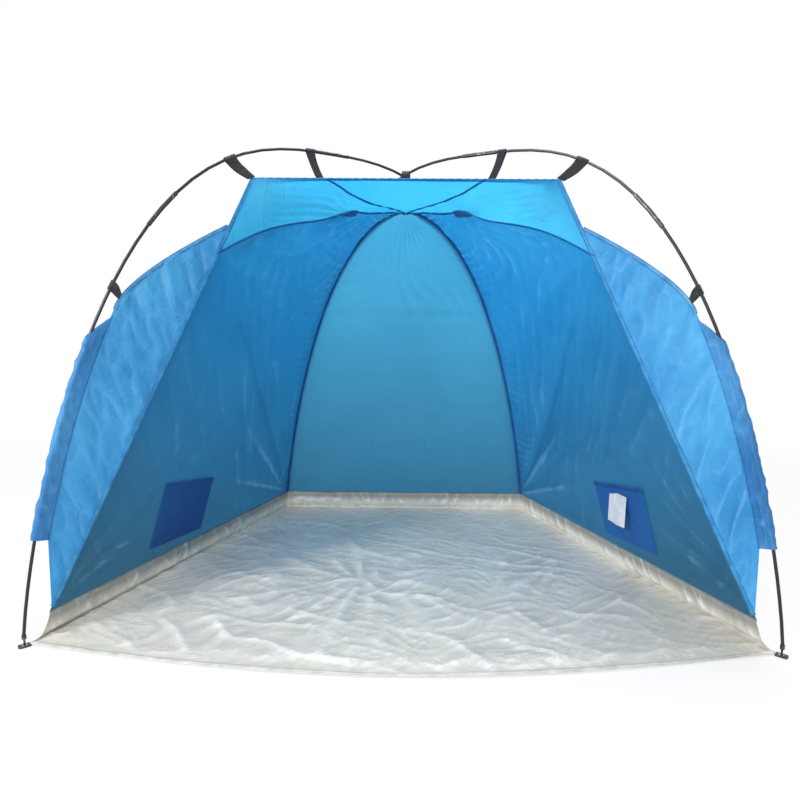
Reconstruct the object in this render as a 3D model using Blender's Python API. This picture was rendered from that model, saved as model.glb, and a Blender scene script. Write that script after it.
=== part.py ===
"""Beach tent: two sectional bent poles that cross over a hung canopy with an open front.

Metres, +Z up. The origin is on the ground, midway between the four pole feet.
The open front faces -Y, and left and right are as seen from the front (+X is right).
Each pole lies in an upright plane that runs from a front foot to the opposite rear foot.
Places in such a plane are given as (run, height), with the run counted from the front foot.
"""

import math

import bmesh
import bpy
from mathutils import Vector

# Footprint and pole shape
FRONT_WIDTH = 2.04
REAR_WIDTH = 1.08
FOOT_DEPTH = 1.20
POLE_HEIGHT = 1.397
BOW_RUN_SHARE = 2.88
BOW_RISE_SHARE = 1.29
CLEARANCE = 0.0003

# Poles
POLE_DIAMETER = 0.009
POLE_BORE = 0.0058
FERRULE_DIAMETER = 0.0124
FERRULE_BORE = 0.0104
CORD_DIAMETER = 0.0028
POLE_SECTIONS = 6
SECTION_STEPS = 10
TIP_LIFT = 0.032
TIP_COLLAR_HEIGHT = 0.012
TIP_COLLAR_DIAMETER = 0.012
TIP_PIN_DIAMETER = 0.0058
CROSSING_SPREAD = 0.25
CROSSING_GAP = 0.0020

# Canopy cloth and its seams
CLOTH = 0.0008
SEAM_INSET = 0.0006
APEX_DROP = 0.129
APEX_HALF = 0.011
ROOF_CORNER_RUN = 0.700
ROOF_CORNER_DROP = 0.107
CHORD_FOOT_RUN = 0.026
ROOF_SEAM_END_DROP = 0.228
ROOF_SEAM_DIP = 0.020
ROOF_SEAM_DIP_SHARE = 1.2
ROOF_SEAM_FALL_SHARE = 2.4
PEAK_RUN = 1.040
PEAK_HEIGHT = 0.022
PEAK_REACH = 0.060
REAR_FALL_SHARE = 2.5
REAR_STEP_SHARE = 0.9
ROOF_COLUMNS = 12
TAUT_ROUNDS = 120
WALL_SAG = 0.014
BACK_SAG = 0.010

# Sleeves round the poles
SLEEVE_OUTER = 0.0115
SLEEVE_HALF_THICKNESS = 0.0115
SLEEVE_SEAT = 0.0008
FRONT_SLEEVE_DEPTH = 0.036
REAR_SLEEVE_DEPTH = 0.019
FRONT_SLEEVE_END = 0.290
REAR_SLEEVE_TOP_DROP = 0.377
REAR_SLEEVE_END = 0.110

# Front wings, with the hem's steps off the pole between the sleeve and the roof
WING_TOP_DROP = 0.140
WING_HEM_DROP = 0.310
WING_TIP_DROP = 0.0215
WING_FOOT_HEIGHT = 0.100
WING_FOOT_WIDTH = 0.004
WING_HEM_SHARE = 1.45

# Groundsheet with its raised rim and bowed apron
SHEET = 0.001
RIM_HEIGHT = 0.082
RIM_TURN_SHARE = 0.03
APRON = 0.130
APRON_FALL_SHARE = 4

# Corner webbing, eyelets and hanging straps
WEBBING = 0.0016
TAB_WIDTH = 0.026
TAB_REACH = 0.016
EYELET_BORE = 0.0070
EYELET_BARREL = 0.0086
EYELET_FLANGE = 0.0150
EYELET_HEAD = 0.0010
STRAP_WIDTH = 0.022
STRAP_FOOT_WIDTH = 0.010
STRAP_SEAT = 0.0007
STRAP_SLACK = 0.0015
CROSSING_STRAP_WIDTH = 0.012
CROSSING_FOOT_WIDTH = 0.0164
CROSSING_HOLE = 0.0316
END_STRAP_RUN = 0.632
MID_STRAP_RUN = 0.902
SIDE_TAB_RISE = 0.125
SIDE_TAB_DROP = 0.031

# Pockets and the sewn-in tag
POCKET_FRONT_SHARE = 0.285
POCKET_REAR_SHARE = 0.490
POCKET_FOOT_SHARE = 0.030
POCKET_TOP_SHARE = 0.160
POCKET_SLACK = 0.004
TAG_WIDTH = 0.090
TAG_DROP = 0.105
TAG_THICKNESS = 0.0012
TAG_PLACE_SHARE = 0.345
TAG_GAP = 0.0026

PLANE_LENGTH = math.hypot((FRONT_WIDTH + REAR_WIDTH) / 2, FOOT_DEPTH)
CROSS_RUN = PLANE_LENGTH * FRONT_WIDTH / (FRONT_WIDTH + REAR_WIDTH)
ROOF_CORNER_HEIGHT = POLE_HEIGHT - ROOF_CORNER_DROP
ROOF_SEAM_END_HEIGHT = ROOF_CORNER_HEIGHT - ROOF_SEAM_END_DROP
WING_TOP_HEIGHT = ROOF_CORNER_HEIGHT - WING_TOP_DROP
FRONT_SLEEVE_TOP = WING_TOP_HEIGHT - WING_HEM_DROP
REAR_SLEEVE_TOP = POLE_HEIGHT - REAR_SLEEVE_TOP_DROP
SIDE_TAB_HEIGHT = FRONT_SLEEVE_TOP + SIDE_TAB_RISE
UP = Vector((0, 0, 1))
SHARP_ANGLE = math.radians(40)

COLOURS = {
    "canopy": ((0.05, 0.35, 0.72), 0.55, 0.0),
    "wall": ((0.04, 0.20, 0.42), 0.60, 0.0),
    "sleeve": ((0.03, 0.15, 0.45), 0.60, 0.0),
    "pocket": ((0.01, 0.06, 0.30), 0.65, 0.0),
    "sheet": ((0.50, 0.52, 0.52), 0.35, 0.0),
    "webbing": ((0.015, 0.015, 0.017), 0.75, 0.0),
    "pole": ((0.02, 0.02, 0.022), 0.35, 0.0),
    "steel": ((0.45, 0.45, 0.46), 0.30, 1.0),
    "cord": ((0.60, 0.60, 0.58), 0.80, 0.0),
    "tag": ((0.75, 0.77, 0.80), 0.70, 0.0),
}


def clear_scene():
    for item in list(bpy.data.objects):
        bpy.data.objects.remove(item, do_unlink=True)


def material(name):
    """One Principled material for each finish, made once."""
    found = bpy.data.materials.get(name)
    if found:
        return found
    colour, roughness, metallic = COLOURS[name]
    made = bpy.data.materials.new(name)
    made.use_nodes = True
    shader = made.node_tree.nodes["Principled BSDF"]
    shader.inputs["Base Color"].default_value = (*colour, 1)
    shader.inputs["Roughness"].default_value = roughness
    shader.inputs["Metallic"].default_value = metallic
    return made


def add_object(name, vertices, faces, finish, smooth=True):
    """A closed mesh object whose faces all point outwards."""
    mesh = bpy.data.meshes.new(name)
    mesh.from_pydata([tuple(v) for v in vertices], [], faces)
    shell = bmesh.new()
    shell.from_mesh(mesh)
    bmesh.ops.recalc_face_normals(shell, faces=shell.faces)
    shell.to_mesh(mesh)
    shell.free()
    if smooth:
        mesh.shade_smooth()
        mesh.set_sharp_from_angle(angle=SHARP_ANGLE)
    item = bpy.data.objects.new(name, mesh)
    item.data.materials.append(material(finish))
    bpy.context.scene.collection.objects.link(item)
    return item


# The upright plane of a pole

def across(side):
    """Unit direction along the ground from a pole's front foot to its rear foot."""
    step = Vector((-side * (FRONT_WIDTH + REAR_WIDTH) / 2, FOOT_DEPTH, 0))
    return step.normalized()


def in_plane(side, run, height):
    """The place at (run, height) in the plane of the pole whose front foot is on that side."""
    foot = Vector((side * FRONT_WIDTH / 2, -FOOT_DEPTH / 2, 0))
    return foot + across(side) * run + UP * height


def plane_normal(side):
    return across(side).cross(UP).normalized()


def bow_height(run):
    """Height of the bent pole over a run: a rounded arch, steep at both feet."""
    middle = abs(2 * run / PLANE_LENGTH - 1)
    return POLE_HEIGHT * max(0.0, 1 - middle**BOW_RUN_SHARE) ** (1 / BOW_RISE_SHARE)


def bow_run(height, rear=False):
    """Run at which the bow has a height, on its front half or its rear half."""
    middle = (1 - (height / POLE_HEIGHT) ** BOW_RISE_SHARE) ** (1 / BOW_RUN_SHARE)
    reach = PLANE_LENGTH / 2 * middle
    return PLANE_LENGTH / 2 + (reach if rear else -reach)


def bow_points(count=720):
    """Close points along the bow as (run, height), spaced to stay dense at the feet."""
    places = []
    for step in range(count + 1):
        turn = math.pi * step / count
        side = 1 if turn > math.pi / 2 else -1
        reach = abs(math.cos(turn)) ** (2 / BOW_RUN_SHARE)
        rise = math.sin(turn) ** (2 / BOW_RISE_SHARE)
        places.append((PLANE_LENGTH / 2 * (1 + side * reach), POLE_HEIGHT * rise))
    return places


def by_length(places, distances):
    """Points of a (run, height) line at given distances along it."""
    found = []
    walked = 0.0
    index = 0
    for distance in distances:
        while index < len(places) - 2:
            gap = math.dist(places[index], places[index + 1])
            if walked + gap >= distance:
                break
            walked += gap
            index += 1
        gap = math.dist(places[index], places[index + 1])
        share = (distance - walked) / gap
        a, b = places[index], places[index + 1]
        found.append((a[0] + (b[0] - a[0]) * share, a[1] + (b[1] - a[1]) * share))
    return found


def line_length(places):
    return sum(math.dist(a, b) for a, b in zip(places, places[1:]))


def inward(run):
    """In-plane unit normal of the bow at a run, pointing down into the tent."""
    step = PLANE_LENGTH / 4000
    low, high = max(run - step, step), min(run + step, PLANE_LENGTH - step)
    if high <= low:
        low, high = run - step, run + step
    slope = (bow_height(high) - bow_height(low)) / (high - low)
    length = math.hypot(1, slope)
    return slope / length, -1 / length


def beside_bow(run, depth):
    """The (run, height) place that lies a depth inside the bow, square to it."""
    normal = inward(run)
    return run + normal[0] * depth, bow_height(run) + normal[1] * depth


def crossing_lift(side, run):
    """The right pole passes over the left one, and both ease apart round the crossing."""
    apart = (POLE_DIAMETER + CROSSING_GAP) / 2
    return side * apart * math.exp(-(((run - CROSS_RUN) / CROSSING_SPREAD) ** 2))


# Closed solids from rings and grids

def swept(name, side, centres, radii, bores, finish, sides=8, headings=None):
    """A tube along a line in the pole's plane. radii and bores are (across, inward) half sizes.

    headings gives each ring's direction, so that tubes that meet end to end have parallel ends.
    """
    places = [in_plane(side, *centre) for centre in centres]
    normal = plane_normal(side)
    vertices, faces = [], []
    last = len(places) - 1
    hollow = bores is not None
    for index, place in enumerate(places):
        before = places[max(index - 1, 0)]
        after = places[min(index + 1, last)]
        along = (after - before).normalized()
        if headings:
            along = (across(side) * headings[index][0] + UP * headings[index][1]).normalized()
        depth = along.cross(normal).normalized()
        for half in (radii, bores) if hollow else (radii,):
            wide, deep = half[index] if isinstance(half, list) else half
            for corner in range(sides):
                turn = 2 * math.pi * (corner + 0.5) / sides
                offset = normal * (wide * math.cos(turn)) + depth * (deep * math.sin(turn))
                vertices.append(place + offset)
    rings = 2 if hollow else 1
    block = sides * rings
    for index in range(last):
        for ring in range(rings):
            start = index * block + ring * sides
            for corner in range(sides):
                beyond = (corner + 1) % sides
                quad = [start + corner, start + beyond, start + block + beyond, start + block + corner]
                faces.append(quad if ring == 0 else quad[::-1])
    for index in (0, last):
        start = index * block
        if not hollow:
            faces.append([start + corner for corner in range(sides)])
            continue
        for corner in range(sides):
            beyond = (corner + 1) % sides
            outer, inner = start + corner, start + sides + corner
            faces.append([outer, start + beyond, start + sides + beyond, inner])
    return add_object(name, vertices, faces, finish)


def turned(name, place, profile, finish, sides=12):
    """A ring or pin turned about an upright axis. profile is a closed (radius, height) outline."""
    vertices, faces = [], []
    for radius, height in profile:
        for corner in range(sides):
            turn = 2 * math.pi * corner / sides
            vertices.append(place + Vector((radius * math.cos(turn), radius * math.sin(turn), height)))
    count = len(profile)
    for index in range(count):
        beyond = (index + 1) % count
        for corner in range(sides):
            near = (corner + 1) % sides
            faces.append(
                [index * sides + corner, index * sides + near, beyond * sides + near, beyond * sides + corner]
            )
    return add_object(name, vertices, faces, finish)


def pin(name, place, steps, finish, sides=12):
    """A stepped solid pin from (radius, height) steps, lowest first."""
    vertices, faces = [], []
    for radius, height in steps:
        for corner in range(sides):
            turn = 2 * math.pi * corner / sides
            vertices.append(place + Vector((radius * math.cos(turn), radius * math.sin(turn), height)))
    for index in range(len(steps) - 1):
        for corner in range(sides):
            near = (corner + 1) % sides
            start = index * sides
            faces.append([start + corner, start + near, start + sides + near, start + sides + corner])
    faces.append(list(range(sides)))
    faces.append([(len(steps) - 1) * sides + corner for corner in range(sides)])
    return add_object(name, vertices, faces, finish)


def pulled_in(grid, inset):
    """The grid with its four edges drawn in by a seam inset."""
    rows = [list(row) for row in grid]
    for row in rows:
        row[0] = row[0] + (row[1] - row[0]).normalized() * inset
        row[-1] = row[-1] + (row[-2] - row[-1]).normalized() * inset
    for column in range(len(rows[0])):
        rows[0][column] += (rows[1][column] - rows[0][column]).normalized() * inset
        rows[-1][column] += (rows[-2][column] - rows[-1][column]).normalized() * inset
    return rows


def grid_normals(grid):
    """A unit normal for each point of a grid."""
    high, wide = len(grid), len(grid[0])
    normals = []
    for row in range(high):
        line = []
        for column in range(wide):
            along = grid[row][min(column + 1, wide - 1)] - grid[row][max(column - 1, 0)]
            down = grid[min(row + 1, high - 1)][column] - grid[max(row - 1, 0)][column]
            line.append(along.cross(down).normalized())
        normals.append(line)
    return normals


def sheet_solid(name, grid, thickness, finish):
    """A cloth panel: both faces of a grid of points, and the edge between them.

    Each square is cut along its shorter diagonal, the same way on both faces.
    """
    normals = grid_normals(grid)
    high, wide = len(grid), len(grid[0])
    vertices = []
    for way in (0.5, -0.5):
        for row in range(high):
            for column in range(wide):
                vertices.append(grid[row][column] + normals[row][column] * (thickness * way))
    layer = high * wide
    faces = []
    for row in range(high - 1):
        for column in range(wide - 1):
            start = row * wide + column
            a, b, c, d = start, start + 1, start + wide + 1, start + wide
            falling = (grid[row][column] - grid[row + 1][column + 1]).length
            rising = (grid[row][column + 1] - grid[row + 1][column]).length
            halves = [[a, b, c], [a, c, d]] if falling < rising else [[a, b, d], [b, c, d]]
            for half in halves:
                faces.append(half)
                faces.append([layer + corner for corner in reversed(half)])
    edge = [column for column in range(wide)]
    edge += [row * wide + wide - 1 for row in range(1, high)]
    edge += [(high - 1) * wide + column for column in range(wide - 2, -1, -1)]
    edge += [row * wide for row in range(high - 2, 0, -1)]
    for a, b in zip(edge, edge[1:] + edge[:1]):
        faces.append([b, a, layer + a, layer + b])
    return add_object(name, vertices, faces, finish)


# Lines where the canopy's panels meet, all in the poles' planes

def chord_run(height):
    """Run of the straight, taut front edge at a height."""
    share = height / ROOF_CORNER_HEIGHT
    return CHORD_FOOT_RUN + (ROOF_CORNER_RUN - CHORD_FOOT_RUN) * share


def roof_seam(count):
    """Seam from the apex to the front edge, pulled to a peak under the middle strap."""
    start_run = CROSS_RUN - APEX_HALF
    end_run = chord_run(ROOF_SEAM_END_HEIGHT)
    apex_height = bow_height(CROSS_RUN) - APEX_DROP
    line = []
    for step in range(count + 1):
        share = step / count
        run = start_run + (end_run - start_run) * share
        fall = (apex_height - ROOF_SEAM_END_HEIGHT) * share**ROOF_SEAM_FALL_SHARE
        dip = ROOF_SEAM_DIP * math.sin(math.pi * min(1.0, share * ROOF_SEAM_DIP_SHARE)) ** 2
        peak = PEAK_HEIGHT * math.exp(-(((run - PEAK_RUN) / PEAK_REACH) ** 2))
        line.append((run, apex_height - fall - dip + peak))
    return line


def front_chord(count, low, high):
    """Points down the straight front edge between two heights, highest first."""
    line = []
    for step in range(count + 1):
        height = high + (low - high) * step / count
        line.append((chord_run(height), height))
    return line


def rear_ridge(count):
    """Seam from the apex down to the rear rim. It hangs below the pole and closes on its sleeve."""
    seat = REAR_SLEEVE_DEPTH + CLEARANCE
    line = []
    last = bow_run(RIM_HEIGHT, rear=True)
    for step in range(count + 1):
        share = math.sin(math.pi / 2 * step / count) **REAR_STEP_SHARE
        run = CROSS_RUN + (last - CROSS_RUN) * share
        reach = (run - CROSS_RUN) / (PLANE_LENGTH - CROSS_RUN)
        depth = seat + (APEX_DROP - seat) * (1 - reach) ** REAR_FALL_SHARE
        line.append(beside_bow(run, depth))
    line[0] = (CROSS_RUN + APEX_HALF, bow_height(CROSS_RUN) - APEX_DROP)
    return line


def side_edges():
    """Front and rear edges of a side wall as (run, height) lines with as many points."""
    seam = roof_seam(8)
    chord = front_chord(8, RIM_HEIGHT, ROOF_SEAM_END_HEIGHT)
    front = seam + chord[1:]
    return front, rear_ridge(len(front) - 1)


def side_grid(side, columns=8):
    """Grid of a side wall, apex row first and front column first."""
    front, rear = side_edges()
    rows = []
    count = len(front) - 1
    for index, (ahead, behind) in enumerate(zip(front, rear)):
        a = in_plane(side, *ahead)
        b = in_plane(-side, *behind)
        pull = Vector((-side, 0, 0)) * WALL_SAG * math.sin(math.pi * index / count)
        row = []
        for column in range(columns + 1):
            share = column / columns
            row.append(a.lerp(b, share) + pull * math.sin(math.pi * share))
        rows.append(row)
    return rows


def side_wall(side, name):
    return sheet_solid(name, pulled_in(side_grid(side), SEAM_INSET), CLOTH, "wall")


def even_line(places, count):
    """A line of 3-D places cut into equal steps, each straight run keeping its corners."""
    runs = [(b - a).length for a, b in zip(places, places[1:])]
    step = sum(runs) / count
    line = [places[0]]
    for a, b, run in zip(places, places[1:], runs):
        cuts = max(1, round(run / step))
        line += [a.lerp(b, cut / cuts) for cut in range(1, cuts + 1)]
    return line


def drawn_taut(grid):
    """The grid with its inner points drawn taut between its edges, as stretched cloth lies."""
    rows = [list(row) for row in grid]
    for _ in range(TAUT_ROUNDS):
        for row in range(1, len(rows) - 1):
            for column in range(1, len(rows[0]) - 1):
                beside = rows[row][column - 1] + rows[row][column + 1]
                rows[row][column] = (beside + rows[row - 1][column] + rows[row + 1][column]) / 4
    return rows


def roof_panel():
    """Roof from the apex out to the straight front hem, filled in between its four edges."""
    seam = roof_seam(8)
    corner = (ROOF_CORNER_RUN, ROOF_CORNER_HEIGHT)
    left = [in_plane(-1, *place) for place in seam]
    right = [in_plane(1, *place) for place in seam]
    far = even_line([left[-1], in_plane(-1, *corner), in_plane(1, *corner), right[-1]], ROOF_COLUMNS)
    columns = len(far) - 1
    rows = []
    for index, (a, b) in enumerate(zip(left, right)):
        down = index / (len(seam) - 1)
        near = [left[0].lerp(right[0], column / columns) for column in range(columns + 1)]
        row = [place.lerp(far[column], down) for column, place in enumerate(near)]
        row[0], row[-1] = a, b
        rows.append(row)
    return sheet_solid("roof_panel", pulled_in(drawn_taut(rows), SEAM_INSET), CLOTH, "canopy")


def back_wall():
    """Arched back wall between the two rear seams."""
    ridge = rear_ridge(14)
    columns = 8
    rows = []
    count = len(ridge) - 1
    for index, place in enumerate(ridge):
        a, b = in_plane(1, *place), in_plane(-1, *place)
        pull = Vector((0, -1, 0)) * BACK_SAG * math.sin(math.pi * index / count)
        row = []
        for column in range(columns + 1):
            share = column / columns
            row.append(a.lerp(b, share) + pull * math.sin(math.pi * share))
        rows.append(row)
    return sheet_solid("back_wall", pulled_in(rows, SEAM_INSET), CLOTH, "canopy")


def seam_run(height):
    """Run of the sleeve's sewn edge on the front half of the bow, at a height."""
    seat = FRONT_SLEEVE_DEPTH + SLEEVE_SEAT
    low, high = bow_run(height), PLANE_LENGTH / 2
    for _ in range(40):
        middle = (low + high) / 2
        if beside_bow(middle, seat)[1] < height:
            low = middle
        else:
            high = middle
    return beside_bow(low, seat)[0]


def wing_edge_run(height):
    """Run of the wing's outer edge: along the sleeve low down, then a free hem up to the chord."""
    if height < FRONT_SLEEVE_END:
        share = (height - WING_FOOT_HEIGHT) / (FRONT_SLEEVE_END - WING_FOOT_HEIGHT)
        foot_run = chord_run(WING_FOOT_HEIGHT) - WING_FOOT_WIDTH
        return foot_run + (seam_run(FRONT_SLEEVE_END) - foot_run) * share
    if height < FRONT_SLEEVE_TOP:
        return seam_run(height)
    share = (height - FRONT_SLEEVE_TOP) / (WING_TOP_HEIGHT - FRONT_SLEEVE_TOP)
    start = seam_run(FRONT_SLEEVE_TOP)
    return start + (chord_run(WING_TOP_HEIGHT) - start) * share**WING_HEM_SHARE


def front_wing(side, name):
    """Flat wing in the pole's plane, between the taut front edge and the pole's sleeve."""
    heights = [WING_FOOT_HEIGHT + (FRONT_SLEEVE_END - WING_FOOT_HEIGHT) * step / 3 for step in range(3)]
    span = WING_TOP_HEIGHT - FRONT_SLEEVE_END
    heights += [FRONT_SLEEVE_END + span * step / 12 for step in range(12)]
    heights.append(WING_TOP_HEIGHT - WING_TIP_DROP)
    rows = []
    for height in heights:
        outer, inner = wing_edge_run(height), chord_run(height)
        row = [in_plane(side, outer + (inner - outer) * share / 3, height) for share in range(4)]
        rows.append(row)
    return sheet_solid(name, pulled_in(rows, SEAM_INSET), CLOTH, "canopy")


# Sleeves

def sleeve_line(low, high, rear, count):
    """Runs along the bow between two heights."""
    a, b = bow_run(low, rear), bow_run(high, rear)
    places = [place for place in bow_points() if min(a, b) <= place[0] <= max(a, b)]
    whole = line_length(places)
    return [place[0] for place in by_length(places, [whole * i / count for i in range(count + 1)])]


def sleeve(side, name, low, high, rear, depth, count):
    """A flat cloth tube that holds the pole in its outer part."""
    centres, outer, inner = [], [], []
    half = (depth + SLEEVE_OUTER) / 2
    for run in sleeve_line(low, high, rear, count):
        centre = beside_bow(run, depth - half)
        centres.append((centre[0], centre[1] + crossing_lift(side, run)))
        outer.append((SLEEVE_HALF_THICKNESS, half))
        inner.append((SLEEVE_HALF_THICKNESS - CLOTH, half - CLOTH))
    return swept(name, side, centres, outer, inner, "sleeve", sides=10)


# Poles

def pole_line(side):
    """The whole bow of one pole, eased over or under the other at the crossing."""
    return [(run, height + crossing_lift(side, run)) for run, height in bow_points()]


def headings_at(line, distances, step):
    """Direction of a line at each distance, upright at its two ends."""
    whole = line_length(line)
    found = []
    for distance in distances:
        low = by_length(line, [max(distance - step, 0)])[0]
        high = by_length(line, [min(distance + step, whole)])[0]
        found.append((high[0] - low[0], high[1] - low[1]))
        if distance < TIP_LIFT + step:
            found[-1] = (0, 1)
        if distance > whole - TIP_LIFT - step:
            found[-1] = (0, -1)
    return found


def pole(side, label):
    """Six tubes, the ferrules that join them, the tips and the elastic cord inside."""
    line = pole_line(side)
    whole = line_length(line)
    start, end = TIP_LIFT + CLEARANCE, whole - TIP_LIFT - CLEARANCE
    steps = POLE_SECTIONS * SECTION_STEPS
    step = (end - start) / steps
    radius, bore = POLE_DIAMETER / 2, POLE_BORE / 2
    for section in range(POLE_SECTIONS):
        first, last = section * SECTION_STEPS, (section + 1) * SECTION_STEPS
        distances = [start + step * index for index in range(first, last + 1)]
        if section > 0:
            distances[0] += CLEARANCE / 2
        if section < POLE_SECTIONS - 1:
            distances[-1] -= CLEARANCE / 2
        centres = by_length(line, distances)
        headings = headings_at(line, distances, step / 2)
        name = f"pole_{label}_section_{section + 1}"
        swept(name, side, centres, (radius, radius), (bore, bore), "pole", headings=headings)
        if section > 0:
            distances = [start + step * (first + shift) for shift in (-1, 0, 1)]
            centres, headings = by_length(line, distances), headings_at(line, distances, step / 2)
            wide, hole = (FERRULE_DIAMETER / 2,) * 2, (FERRULE_BORE / 2,) * 2
            swept(f"ferrule_{label}_{section}", side, centres, wide, hole, "steel", headings=headings)
    for name, rear in ((f"tip_{label}_front", False), (f"tip_{label}_rear", True)):
        foot = in_plane(side, PLANE_LENGTH if rear else 0, 0)
        collar = TIP_LIFT - TIP_COLLAR_HEIGHT
        lean = by_length(line, [end if rear else start])[0]
        foot += across(side) * (lean[0] - (PLANE_LENGTH if rear else 0))
        half_pin, half_collar = TIP_PIN_DIAMETER / 2, TIP_COLLAR_DIAMETER / 2
        pin_steps = [(half_pin, 0), (half_pin, collar), (half_collar, collar), (half_collar, lean[1] - CLEARANCE)]
        pin(name, foot, pin_steps, "steel")
    distances = [start + step * index for index in range(steps + 1)]
    half = CORD_DIAMETER / 2
    swept(f"shock_cord_{label}", side, by_length(line, distances), (half, half), None, "cord", sides=4)


# Webbing

def strap(name, centre, along, toward, hole, width, foot_width):
    """A webbing loop round a pole whose two ends are sewn together and run to the cloth.

    along is the pole's direction, toward runs to the cloth, and hole is (aside, down) half sizes.
    The two ends narrow to foot_width where they are sewn down.
    """
    reach = toward * (1 - STRAP_SEAT / toward.length)
    slip = along * reach.dot(along)
    straight = reach - slip
    pull = straight.normalized()
    wide = along.cross(pull).normalized()
    count = 14
    outer, inner = [], []
    for corner in range(count):
        turn = 2 * math.pi * (corner + 0.5) / count
        x, y = math.sin(turn), math.cos(turn)
        inner.append(wide * (x * hole[0]) + pull * (y * hole[1]))
        outer.append(wide * (x * (hole[0] + WEBBING)) + pull * (y * (hole[1] + WEBBING)))
    outer[0] = wide * WEBBING + straight + slip
    outer[-1] = wide * -WEBBING + straight + slip
    vertices, faces = [], []
    for way in (-0.5, 0.5):
        for corner, place in enumerate(outer):
            half = foot_width if corner in (0, count - 1) else width
            vertices.append(centre + place + along * (half * way))
        vertices += [centre + place + along * (width * way) for place in inner]
    block = 2 * count
    for corner in range(count):
        beyond = (corner + 1) % count
        faces.append([corner, beyond, block + beyond, block + corner])
        faces.append([count + beyond, count + corner, block + count + corner, block + count + beyond])
        faces.append([beyond, corner, count + corner, count + beyond])
        faces.append([block + corner, block + beyond, block + count + beyond, block + count + corner])
    return add_object(name, vertices, faces, "webbing", smooth=False)


def hung_strap(name, side, run, anchor, width=STRAP_WIDTH):
    """A strap from the pole at a run to an anchor place on the canopy."""
    hub = in_plane(side, run, bow_height(run) + crossing_lift(side, run))
    normal = inward(run)
    along = (across(side) * -normal[1] + UP * normal[0]).normalized()
    hole = POLE_DIAMETER / 2 + STRAP_SLACK
    return strap(name, hub, along, anchor - hub, (hole, hole), width, STRAP_FOOT_WIDTH)


def crossing_strap():
    """The strap round both poles where they cross, which holds up the apex."""
    top = in_plane(1, CROSS_RUN, bow_height(CROSS_RUN))
    apex = in_plane(1, CROSS_RUN, bow_height(CROSS_RUN) - APEX_DROP)
    hole = (CROSSING_HOLE / 2, CROSSING_HOLE / 2)
    width, foot = CROSSING_STRAP_WIDTH, CROSSING_FOOT_WIDTH
    return strap("crossing_strap", top, Vector((1, 0, 0)), apex - top, hole, width, foot)


def corner_tab(name, foot, heading):
    """Webbing tab on the ground with a round hole for the eyelet."""
    aside = UP.cross(heading).normalized()
    count = 16
    hole = EYELET_BARREL / 2 + CLEARANCE
    outer, inner = [], []
    for corner in range(count):
        turn = 2 * math.pi * (corner + 0.5) / count
        x, y = math.cos(turn), math.sin(turn)
        square = 1 / max(abs(x), abs(y))
        outer.append(heading * (x * square * TAB_REACH) + aside * (y * square * TAB_WIDTH / 2))
        inner.append(heading * (x * hole) + aside * (y * hole))
    vertices, faces = [], []
    for height in (0, WEBBING):
        vertices += [foot + place + UP * height for place in outer]
        vertices += [foot + place + UP * height for place in inner]
    block = 2 * count
    for corner in range(count):
        beyond = (corner + 1) % count
        faces.append([corner, beyond, block + beyond, block + corner])
        faces.append([count + beyond, count + corner, block + count + corner, block + count + beyond])
        faces.append([beyond, corner, count + corner, count + beyond])
        faces.append([block + corner, block + beyond, block + count + beyond, block + count + corner])
    return add_object(name, vertices, faces, "webbing", smooth=False)


def eyelet(name, foot):
    """Pressed ring whose barrel passes through the tab and whose flange lies on it."""
    under = WEBBING + CLEARANCE
    top = under + EYELET_HEAD
    bore, barrel, flange = EYELET_BORE / 2, EYELET_BARREL / 2, EYELET_FLANGE / 2
    profile = [(bore, 0), (barrel, 0), (barrel, under), (flange, under), (flange, top), (bore, top)]
    return turned(name, foot, profile, "steel", sides=16)


def tip_place(side, rear):
    """Ground place under a pole's tip, from where its lowest tube ends."""
    line = pole_line(side)
    whole = line_length(line)
    distance = whole - TIP_LIFT - CLEARANCE if rear else TIP_LIFT + CLEARANCE
    return in_plane(side, by_length(line, [distance])[0][0], 0)


# Groundsheet

def rim_corner(side, rear):
    """Top of the groundsheet's rim at a corner, just under the wall that it is sewn to."""
    edge = side_edges()[1 if rear else 0][-1]
    return in_plane(-side if rear else side, *edge) - UP * CLEARANCE


def floor_corner(side, rear):
    """Corner of the floor, which ends just short of the webbing tab."""
    owner = -side if rear else side
    way = -1 if rear else 1
    return tip_place(owner, rear) + across(owner) * way * (TAB_REACH + SHEET)


def groundsheet():
    """Floor with a rim raised at the sides and back, and an apron that bows out at the front."""
    columns, depth_steps = 12, 8
    rows = []
    for row in range(depth_steps + 1):
        share = row / depth_steps
        left = floor_corner(-1, False).lerp(floor_corner(-1, True), share)
        right = floor_corner(1, False).lerp(floor_corner(1, True), share)
        line = []
        for column in range(columns + 1):
            bow = APRON * math.sin(math.pi * column / columns) * (1 - share) ** APRON_FALL_SHARE
            line.append(left.lerp(right, column / columns) + Vector((0, -bow, SHEET / 2)))
        rim_share = min(share, 1 - RIM_TURN_SHARE)
        left_rim = rim_corner(-1, False).lerp(rim_corner(-1, True), rim_share)
        right_rim = rim_corner(1, False).lerp(rim_corner(1, True), rim_share)
        rows.append([left_rim] + line + [right_rim])
    left, right = rim_corner(-1, True), rim_corner(1, True)
    back = [left.lerp(right, column / columns) for column in range(columns + 1)]
    back[0] = left.lerp(right, RIM_TURN_SHARE)
    back[-1] = left.lerp(right, 1 - RIM_TURN_SHARE)
    rows.append([left] + back + [right])
    return sheet_solid("groundsheet", rows, SHEET, "sheet")


# Pockets and tag

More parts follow.
